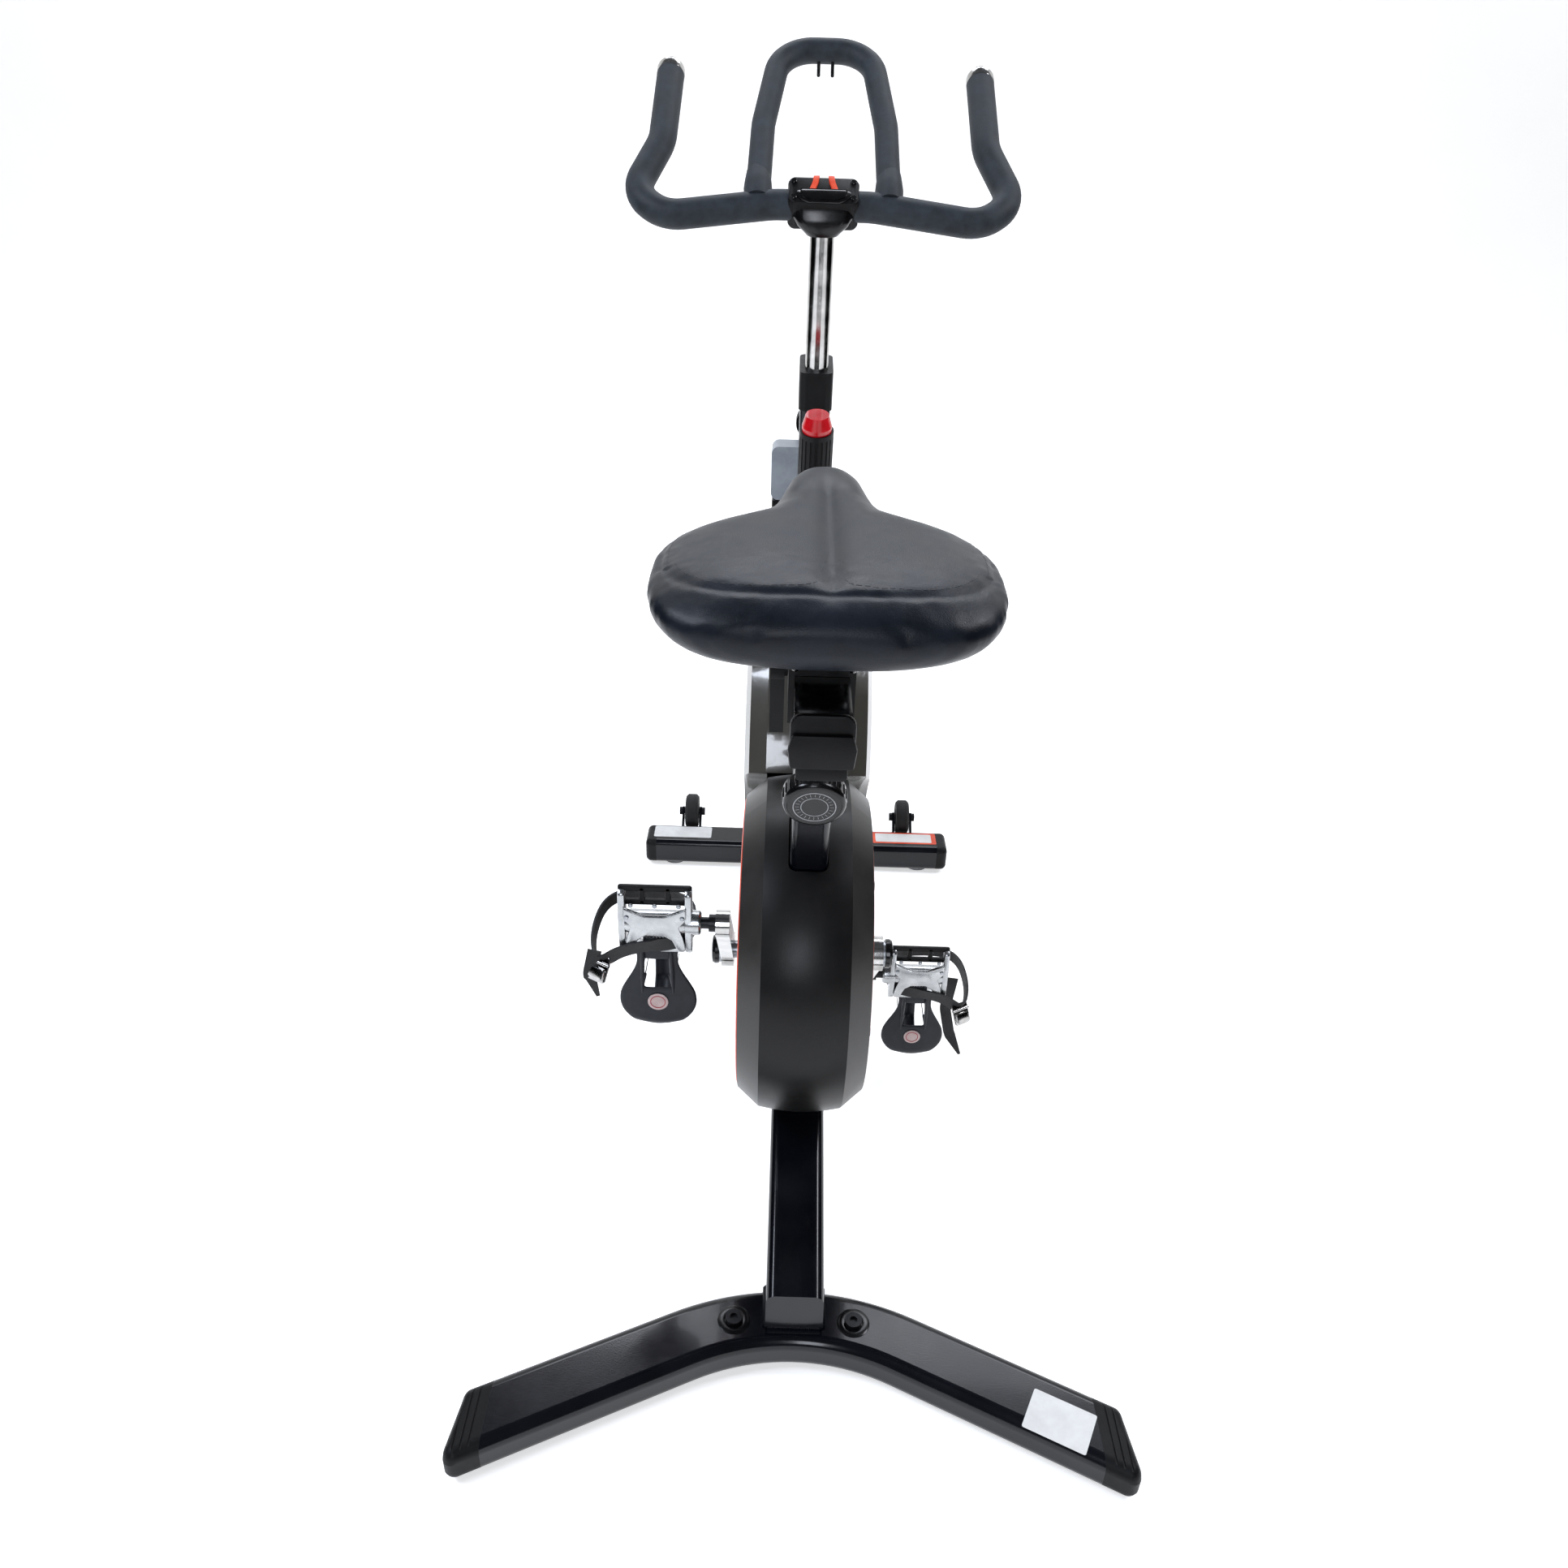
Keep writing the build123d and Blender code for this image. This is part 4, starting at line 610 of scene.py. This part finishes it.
# ---- Handlebar -------------------------------------------------------------------------
# Bent steel tube dipped in soft dark grey foam skin, with a welded loop in the middle.
# Each horn ends in a bright ring and a black plug.
skin = surface("soft_grip_skin", "#22272c", "#32383f", 0.02, 0.0008, 0.5, (0.5, 0.66),
               {"Specular IOR Level": 0.25})
TILT = math.radians(37)
bar_up = Vector((0, math.cos(TILT), math.sin(TILT)))
bar_out = Vector((0, -math.sin(TILT), math.cos(TILT)))
BAR = Vector((0, 0.377, 1.051))


def on_bar(u, w, lift=0.0):
    """A point in the handlebar's plane: sideways, along and above it, in millimetres."""
    return BAR + (X * u + bar_up * w + bar_out * lift) / 1000


right_half = [(60, -6), (190, -30), (232, 5), (202, 95), (199, 214)]
whole = [on_bar(-u, w) for u, w in reversed(right_half)] + [on_bar(u, w) for u, w in right_half]
line = rounded(whole, [0.09, 0.044, 0.044, 0.12, 0.12, 0.044, 0.044, 0.09])
bar = bmesh.new()


def skinned(base):
    """Section of the foam skin: a little uneven, as dipped foam is."""
    def section(k):
        swell = 1 + 0.018 * noise.noise(Vector((k * 0.07, base * 100, 0.3)))
        return circle(base * swell, 28)
    return section


swept(bar, line, skinned(0.0175), bar_out)
lift = Vector((0, 0, 0.006))
loop_half = [(80, -4), (77, 120), (58, 258)]
loop_points = [on_bar(-u, w) + lift for u, w in loop_half]
loop_points += [on_bar(u, w) + lift for u, w in reversed(loop_half)]
loop_line = rounded(loop_points, [0.12, 0.05, 0.05, 0.12])
swept(bar, loop_line, skinned(0.015), bar_out)
for side in (-1, 1):
    foot = on_bar(side * 80, 2) + lift
    turned(bar, [(-0.012, 0.0160), (0.008, 0.0174), (0.018, 0.0166), (0.034, 0.0149)], foot, bar_up, 28)
    end_ring = [(0, 0.0165), (0, 0.0178), (0.0015, 0.0182), (0.0095, 0.0182), (0.011, 0.0178),
                (0.011, 0.0160)]
    turned(bar, end_ring, on_bar(side * 199, 213), bar_up, 32, 1)
    plug = [(0, 0.0152), (0.004, 0.0150), (0.009, 0.0128), (0.012, 0.0080), (0.013, 0.003)]
    turned(bar, plug, on_bar(side * 199, 223), bar_up, 32, 2)
grip = piece("handlebar_skin", bar, [skin, plated, nylon], "handlebars")
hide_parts("handlebar")

# ---- Handlebar clamp cover -------------------------------------------------------------
# Two-part moulded cover over the steel clamp, screwed together, with a glossy dished lower face.
# Two bent orange bands are moulded into its upper face.
orange = surface("orange_moulding", "#d63a12", "#ef5320", 0.02, 0.0009, 0.05, (0.3, 0.42))
block = bmesh.new()
plate(block, corner_box(0.085, 0.044, 0.009, 7), 0.042, on_bar(0, -2, -21.5), X, bar_up, 0.0045)
lens = [(-33, -7), (-31, -4), (31, -4), (33, -7), (33, -13), (28, -19), (18, -24), (-18, -24), (-28, -19),
        (-33, -13)]
for grow, low, high in ((1.0, 19.0, 22.5), (0.86, 22.0, 23.8)):
    step = [(u * grow / 1000, w * grow / 1000) for u, w in lens]
    plate(block, step, (high - low) / 1000, on_bar(0, -1, low), X, bar_up, 0.0018, 1)
POST_LEAN = math.radians(7.5)
post_down = Vector((0, math.sin(POST_LEAN), -math.cos(POST_LEAN)))
post_front = Vector((0, math.cos(POST_LEAN), math.sin(POST_LEAN)))
neck_rings = []
for along, wide, deep in ((0.002, 0.076, 0.052), (0.012, 0.075, 0.062), (0.021, 0.064, 0.065),
                          (0.029, 0.046, 0.066), (0.033, 0.039, 0.063)):
    centre = BAR + post_down * along
    section = corner_box(wide, deep, 0.014)
    neck_rings.append([block.verts.new(centre + u * X + v * post_front) for u, v in section])
for ring, following in zip(neck_rings, neck_rings[1:]):
    size = len(ring)
    for j in range(size):
        face = block.faces.new((ring[j], ring[(j + 1) % size], following[(j + 1) % size], following[j]))
        face.material_index = 1
for ring in (neck_rings[0], neck_rings[-1]):
    block.faces.new(ring)
band_section = [(-0.0038, -0.001), (0.0038, -0.001), (0.0034, 0.0011), (-0.0034, 0.0011)]
for side in (-1, 1):
    corners = [(9, 20.6, 12), (9, 20.2, 20.6), (10, 10, 20.8), (14, -4, 20.8)]
    bent = rounded([on_bar(side * u, w, out) for u, w, out in corners], [0.002, 0.010], 0.002)
    swept(block, bent, lambda k: band_section, bar_out, slot=2)
cover = piece("handlebar_clamp_cover", block, [nylon, gloss_nylon, orange], "handlebars")
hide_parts("handlebar_clamp")
cover_bolts = bmesh.new()
small_head = [(0, 0.0028), (0, 0.0038), (0.0012, 0.0038), (0.002, 0.0030), (0.002, 0.0012)]
for side in (-1, 1):
    for w in (-13, 13):
        turned(cover_bolts, small_head, on_bar(side * 36, w - 2, 20.3), bar_out, 16)
piece("clamp_cover_screws", cover_bolts, [gloss_nylon], "handlebars")
for side in (-1, 1):
    hook = bmesh.new()
    corners = [on_bar(side * 9, w, out) + lift for w, out in ((246, -4), (240, -13), (229, -13))]
    swept(hook, rounded(corners, [0.004], 0.002), lambda k: circle(0.0022, 12), X)
    piece(f"loop_hook_{'left' if side < 0 else 'right'}", hook, [nylon], "handlebars")

# ---- Sensor box base and cable ---------------------------------------------------------
# The pale box clips onto a black moulded foot, and a thin black lead runs down the column from it.
foot_mesh = bmesh.new()
plate(foot_mesh, corner_box(0.034, 0.036, 0.006), 0.012, Vector((-0.0375, 0.405, 0.664)), X, Y, 0.0015)
LEAD_POINTS = [(-0.0375, 0.405, 0.668), (-0.0375, 0.409, 0.640), (-0.0228, 0.416, 0.615),
               (-0.0228, 0.4335, 0.560)]
lead = rounded([Vector(point) for point in LEAD_POINTS], [0.012, 0.012], 0.003)
swept(foot_mesh, lead, lambda k: circle(0.0016, 10), X)
piece("sensor_foot", foot_mesh, [nylon], "frame")

# ---- Drum accents ----------------------------------------------------------------------
# A thin orange trim ring let into each flat side of the round cover.
# Moulded black caps cover the ends of the crank axle.
DRUM_CENTRE = Vector((0, -0.150, 0.332))
CRANK_CENTRE = Vector((0, -0.147, 0.314))
trim = bmesh.new()
for side, proud in ((-1, 0.0014), (1, 0.0006)):
    ring_section = [(-0.002, 0.1605), (proud * 0.6, 0.1600), (proud, 0.1585), (proud, 0.1550),
                    (proud * 0.6, 0.1535), (-0.002, 0.1530)]
    turned(trim, ring_section, DRUM_CENTRE + X * side * 0.068, X * side, 128)
piece("drum_trim_rings", trim, [orange], "frame")
hub_caps = bmesh.new()
cap_section = [(0, 0.013), (0.002, 0.0165), (0.006, 0.0168), (0.009, 0.0150), (0.0105, 0.008), (0.011, 0.002)]
for side in (-1, 1):
    turned(hub_caps, cap_section, CRANK_CENTRE + X * side * 0.0935, X * side, 40)
piece("crank_end_caps", hub_caps, [gloss_nylon], "crankset")

# ---- Flywheel cover ribs and seams -----------------------------------------------------
# Moulded fins round the cover's flat sides, and the raised lip where the two halves clip together.
WHEEL_CENTRE = Vector((0, 0.160, 0.420))
LIP_R = 0.2155
fins = []
for side in (-1, 1):
    for k in range(26):
        a = math.radians(-62 + 5 * k)
        arm = Y * math.cos(a) + Z * math.sin(a)
        fins.append((WHEEL_CENTRE + X * side * 0.0738 + arm * 0.130, X * side, arm))
repeat("cover_fins", capsule(0.046, 0.0016, 8), fins, side_shell, "frame")
lip = bmesh.new()
arc_angles = [math.radians(a) for a in range(-78, 83, 2)]
arc = [WHEEL_CENTRE + LIP_R * (Y * math.cos(a) + Z * math.sin(a)) for a in arc_angles]
lip_section = [(-0.0016, -0.001), (0.0016, -0.001), (0.0012, 0.0009), (-0.0012, 0.0009)]
swept(lip, arc, lambda k: lip_section, Y)
piece("cover_seam", lip, [nylon], "frame")

# ---- Pedals ----------------------------------------------------------------------------
# Die-cast alloy cages with a cut-out web, a spring clip on a cross pin and a black top plate.
# The web, jaw and coil are bright metal, the top plate is moulded and has three holes.
PEDALS = {"left": (-1, Vector((-0.153, -0.2640, 0.4373))), "right": (1, Vector((0.153, -0.0300, 0.1907)))}
right_web = [(10, 15), (22, 20), (31, 24), (31, 10), (24, 2), (28, -10), (31, -26), (23, -28), (17, -14),
             (9, -9)]
web_outline = right_web + [(-u, w) for u, w in reversed(right_web)]
rib = [(-9, 38), (-4, 42), (4, 40), (8, 12), (9, -8), (5, -30), (-4, -36), (-10, -28), (-12, -8), (-11, 12)]
barrel = [(-0.034, 0.008), (-0.034, 0.0100), (-0.026, 0.0125), (0.026, 0.0125), (0.034, 0.0100),
          (0.034, 0.008)]
collar = [(0.030, 0.0125), (0.034, 0.0130), (0.044, 0.0125), (0.046, 0.0105), (0.046, 0.0075)]
jaw = [(-13, -15), (13, -15), (15, -26), (8, -29), (-8, -29), (-15, -26)]
screw_head = [(0, 0.0014), (0, 0.0024), (0.0008, 0.0024), (0.0014, 0.0018), (0.0014, 0.0008)]


def metres(outline):
    """Outline points given in millimetres."""
    return [(u / 1000, w / 1000) for u, w in outline]


for name, (side, centre) in PEDALS.items():
    cage = bmesh.new()
    plate(cage, metres(web_outline), 0.005, centre - Y * 0.0085, X, Z, 0.0014)
    for edge in (-1, 1):
        plate(cage, metres(rib), 0.007, centre + X * (edge * 0.0335 - 0.0035), Y, Z, 0.0018)
    turned(cage, barrel, centre, X, 32)
    turned(cage, collar, centre, X * -side, 32)
    plate(cage, corner_box(0.060, 0.008, 0.003), 0.012, centre + Vector((0, 0.006, -0.030)), X, Z, 0.0012)
    top_rail = centre + Vector((0, 0.002, 0.0415))
    plate(cage, corner_box(0.074, 0.0065, 0.0025), 0.005, top_rail, X, Z, 0.0014, 1)
    low_rail = centre + Vector((0, 0.002, 0.0250))
    plate(cage, corner_box(0.070, 0.0060, 0.0025), 0.005, low_rail, X, Z, 0.0012, 1)
    for u in (-34, -13, 13, 34):
        bridge = centre + Vector((u / 1000, 0.0015, 0.0335))
        plate(cage, corner_box(0.0055, 0.020, 0.002), 0.0045, bridge, X, Z, 0.0010, 1)
    plate(cage, metres(jaw), 0.006, centre + Y * 0.009, X, Z, 0.0015, 2)
    coil = []
    for k in range(92):
        a = math.tau * k / 13
        turn_at = Vector((0.024 * k / 91 - 0.012, 0.004 + 0.0048 * math.cos(a), 0.0048 * math.sin(a) - 0.018))
        coil.append(centre + turn_at)
    swept(cage, coil, lambda k: circle(0.0011, 8), X, slot=2)
    made = piece(f"pedal_cage_{name}", cage, [cast_alloy, nylon, zinc], "pedal_" + name)
    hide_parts("pedal_body_" + name)
    fixings = [(centre + Vector((u, -0.0083, 0.0250)), -Y, X) for u in (-0.024, 0.0, 0.024)]
    fixings += [(centre + Vector((u, -0.0136, w)), -Y, X) for u, w in ((-0.028, 0.014), (0.028, 0.014))]
    head = bmesh.new()
    turned(head, screw_head, Vector((0, 0, 0)), Z, 14)
    bmesh.ops.recalc_face_normals(head, faces=head.faces)
    repeat(f"pedal_screws_{name}", head, fixings, zinc, "pedal_" + name)

# ---- Toe clips -------------------------------------------------------------------------
# Springy moulded toe guards that hang from the pedals when no foot is in them.
# Each has a narrow waist, a round nose, an open window, two stiffening ribs and a plain round sticker.
clip_plastic = surface("slate_moulded_clip", "#11141b", "#1e222b", 0.02, 0.0009, 0.15, (0.32, 0.46),
                       {"Specular IOR Level": 0.3})
sticker = surface("pale_round_sticker", "#b9a09e", "#cbb8b6", 0.01, 0.0006, 0.03, (0.45, 0.6))
sticker_ink = surface("faded_red_ink", "#9a3e42", "#ab5456", 0.006, 0.0006, 0.03, (0.5, 0.6))
STICKER_DISC = [(0, 0.0080), (0, 0.0108), (0.0006, 0.0108), (0.0008, 0.0103), (0.0008, 0.002)]
STICKER_RING = [(0.0006, 0.0072), (0.0011, 0.0072), (0.0011, 0.0082), (0.0006, 0.0082), (0.0006, 0.0072)]
CLIP_WIDTHS = [(0, 25), (12, 21), (26, 21.5), (38, 27), (50, 34), (60, 39), (70, 41), (78, 40.5), (86, 38),
               (93, 33.5), (99, 27.5), (104, 20), (107.5, 12), (112, 9), (200, 9)]


def clip_half(distance):
    """Half width of the toe guard at a distance down from its root, in millimetres."""
    for (start, wide), (end, following_wide) in zip(CLIP_WIDTHS, CLIP_WIDTHS[1:]):
        if distance <= end:
            t = max(0.0, (distance - start) / (end - start))
            return wide + (following_wide - wide) * t
    return CLIP_WIDTHS[-1][1]


for name, (side, centre) in PEDALS.items():
    corners = ((0, -30), (-2, -136), (30, -139), (60, -119), (65, -90))
    route = [centre + Vector((0, y, z)) / 1000 for y, z in corners]
    track = rounded(route, [0.010, 0.014, 0.014], 0.003)
    clip = bmesh.new()
    rows = []
    travelled = 0.0
    last = track[0]
    for k, point in enumerate(track):
        travelled += (point - last).length
        last = point
        half = clip_half(travelled * 1000) / 1000
        run = (track[min(k + 1, len(track) - 1)] - track[max(k - 1, 0)]).normalized()
        face_out = run.cross(X)
        row = []
        for j in range(21):
            t = j / 10 - 1
            row.append(clip.verts.new(point + X * (half * t) - face_out * (0.003 * t ** 2)))
        rows.append((row, travelled))
    for (row, start), (following, end) in zip(rows, rows[1:]):
        middle = (start + end) / 2
        for j in range(20):
            across_window = 4 <= j <= 15 if middle < 0.034 else 6 <= j <= 13
            if not (0.016 < middle < 0.056 and across_window):
                clip.faces.new((row[j], row[j + 1], following[j + 1], following[j]))
    guard = piece(f"toe_guard_{name}", clip, [clip_plastic], "pedal_" + name, 60)
    thick = guard.modifiers.new("thickness", "SOLIDIFY")
    thick.thickness = 0.0034
    thick.offset = 0
    soft = guard.modifiers.new("soft", "SUBSURF")
    soft.levels = soft.render_levels = 1
    settle(guard)
    guard.data.shade_smooth()
    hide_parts("toe_clip_" + name)
    ribs = bmesh.new()
    ribbed = [point for point in track if centre.z - point.z < 0.092]
    rib_end = len(ribbed) - 1
    for edge in (-1, 1):
        spine = [point + X * edge * (0.0145 + 0.03 * (centre.z - 0.030 - point.z)) - Y * 0.0020
                 for point in ribbed]
        swept(ribs, spine, lambda k: circle(0.0024 * min(1.0, 0.4 + k / 4, 0.15 + (rib_end - k) / 5), 10), Y)
    seat = centre + Vector((0, -0.0035, -0.1020))
    turned(ribs, STICKER_DISC, seat, -Y, 40, 1)
    turned(ribs, STICKER_RING, seat, -Y, 40, 2)
    piece(f"toe_guard_ribs_{name}", ribs, [clip_plastic, sticker, sticker_ink], "pedal_" + name)

# ---- Toe straps ------------------------------------------------------------------------
# Flat nylon webbing threaded through each pedal and round the shoe, closed by a sprung steel buckle.
# With no foot in it the loop bulges outwards and sags towards the rider.
web = surface("nylon_webbing", "#08080a", "#121214", 0.004, 0.0011, 0.4, (0.5, 0.65))
LOOP_CORNERS = [(-38, -12, -16), (-39, 62, -16), (30, 70, -14), (60, 56, -16), (69, 14, -32), (60, -14, -48),
                (30, -13, -24)]
TAILS = {"left": ([(-62, -12, -30), (-68, -16, -58), (-60, -18, -84)], [0.02]),
         "right": ([(50, 26, -26), (44, 24, -74), (52, 18, -112), (68, 10, -142)], [0.03, 0.03])}
web_section = [(-0.0011, -0.0075), (0.0011, -0.0075), (0.0011, 0.0075), (-0.0011, 0.0075)]
roller = [(-0.0125, 0.0012), (-0.0125, 0.0018), (0.0125, 0.0018), (0.0125, 0.0012)]
for name, (side, centre) in PEDALS.items():
    span = [centre + Vector((side * u, y, z)) / 1000 for u, y, z in LOOP_CORNERS]
    count = len(span)
    ring_line = []
    for k in range(count):
        before, corner, after = span[k - 1], span[k], span[(k + 1) % count]
        first, second = (before + corner) / 2, (corner + after) / 2
        for t in (step / 8 for step in range(8)):
            ring_line.append((1 - t) ** 2 * first + 2 * t * (1 - t) * corner + t * t * second)
    strap = bmesh.new()
    swept(strap, ring_line, lambda k: web_section, Z, closed=True)
    hang, bends = TAILS[name]
    tail = rounded([centre + Vector(point) / 1000 for point in hang], bends, 0.004)
    last_step = len(tail) - 1

    def tail_section(k):
        """The webbing's section near its end, where it narrows to a point."""
        half = 0.0072 * min(1, 0.25 + (last_step - k) / 4)
        return [(-half, -0.001), (half, -0.001), (half, 0.001), (-half, 0.001)]

    swept(strap, tail, tail_section, Y)
    facing = Vector((side * 0.45, -0.75, 0.48)).normalized()
    rightwards = facing.cross(Z).normalized()
    upwards = facing.cross(rightwards)
    bracket = centre + Vector((side * 0.058, -0.015, -0.050))
    plate(strap, corner_box(0.024, 0.028, 0.004), 0.0016, bracket, rightwards, upwards, 0.0006, 1)
    tongue = bracket + upwards * 0.005 + facing * 0.001
    plate(strap, corner_box(0.019, 0.012, 0.003), 0.0035, tongue, rightwards, upwards, 0.0012, 1)
    turned(strap, roller, bracket - upwards * 0.006 + facing * 0.0025, rightwards, 14, 1)
    belt = piece(f"toe_strap_web_{name}", strap, [web, plated], "pedal_" + name)
    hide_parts("toe_strap_" + name)

# ---- Blank labels ----------------------------------------------------------------------
# Plain paper and foil labels stuck on the feet, left without any printing.
# The front right one has an orange border.
paper = surface("white_label_paper", "#d9d9d6", "#e8e8e6", 0.02, 0.001, 0.03, (0.5, 0.65))
labels = bmesh.new()
tilt = math.radians(-26)
arm_right = Vector((math.cos(tilt), math.sin(tilt), 0))
arm_front = Vector((-math.sin(tilt), math.cos(tilt), 0))
plate(labels, corner_box(0.064, 0.045, 0.002), 0.0004, Vector((0.2625, -0.5365, 0.0459)), arm_right,
      arm_front, 0)
plate(labels, corner_box(0.098, 0.034, 0.003), 0.0004, Vector((-0.196, 0.5135, 0.0499)), X, Y, 0)
plate(labels, corner_box(0.112, 0.034, 0.003), 0.0004, Vector((0.184, 0.5135, 0.0499)), X, Y, 0, 1)
plate(labels, corner_box(0.096, 0.026, 0.002), 0.0004, Vector((0.184, 0.5135, 0.0502)), X, Y, 0)
piece("foot_labels", labels, [paper, orange], "frame")

# ---- Weld beads ------------------------------------------------------------------------
# Rows of overlapping weld ripples where the leg stands on the foot, painted over with the frame.
ripples = []
for k in range(27):
    x = -0.026 + 0.002 * k
    ripples.append((Vector((x, -0.4453, 0.0470)), Vector((0, -0.7, 0.7)), Y))
for side in (-1, 1):
    for k in range(24):
        ripples.append((Vector((side * 0.0302, -0.440 + 0.002 * k, 0.0470)), Vector((side * 0.7, 0, 0.7)), X))
repeat("leg_welds", capsule(0.0075, 0.0024, 8), ripples, gloss_coat, "frame")
washers = bmesh.new()
dish = [(-0.0002, 0.0095), (0.0011, 0.0095), (0.0013, 0.0105), (0.0013, 0.0150), (0.0004, 0.0172),
        (-0.0002, 0.0172), (-0.0002, 0.0095)]
for x, y, z in ((-0.063, -0.434, 0.046), (0.063, -0.434, 0.046), (-0.042, 0.5105, 0.050),
                (0.042, 0.5105, 0.050)):
    turned(washers, dish, Vector((x, y, z)), Z, 40)
piece("bolt_dishes", washers, [gloss_nylon], "frame")
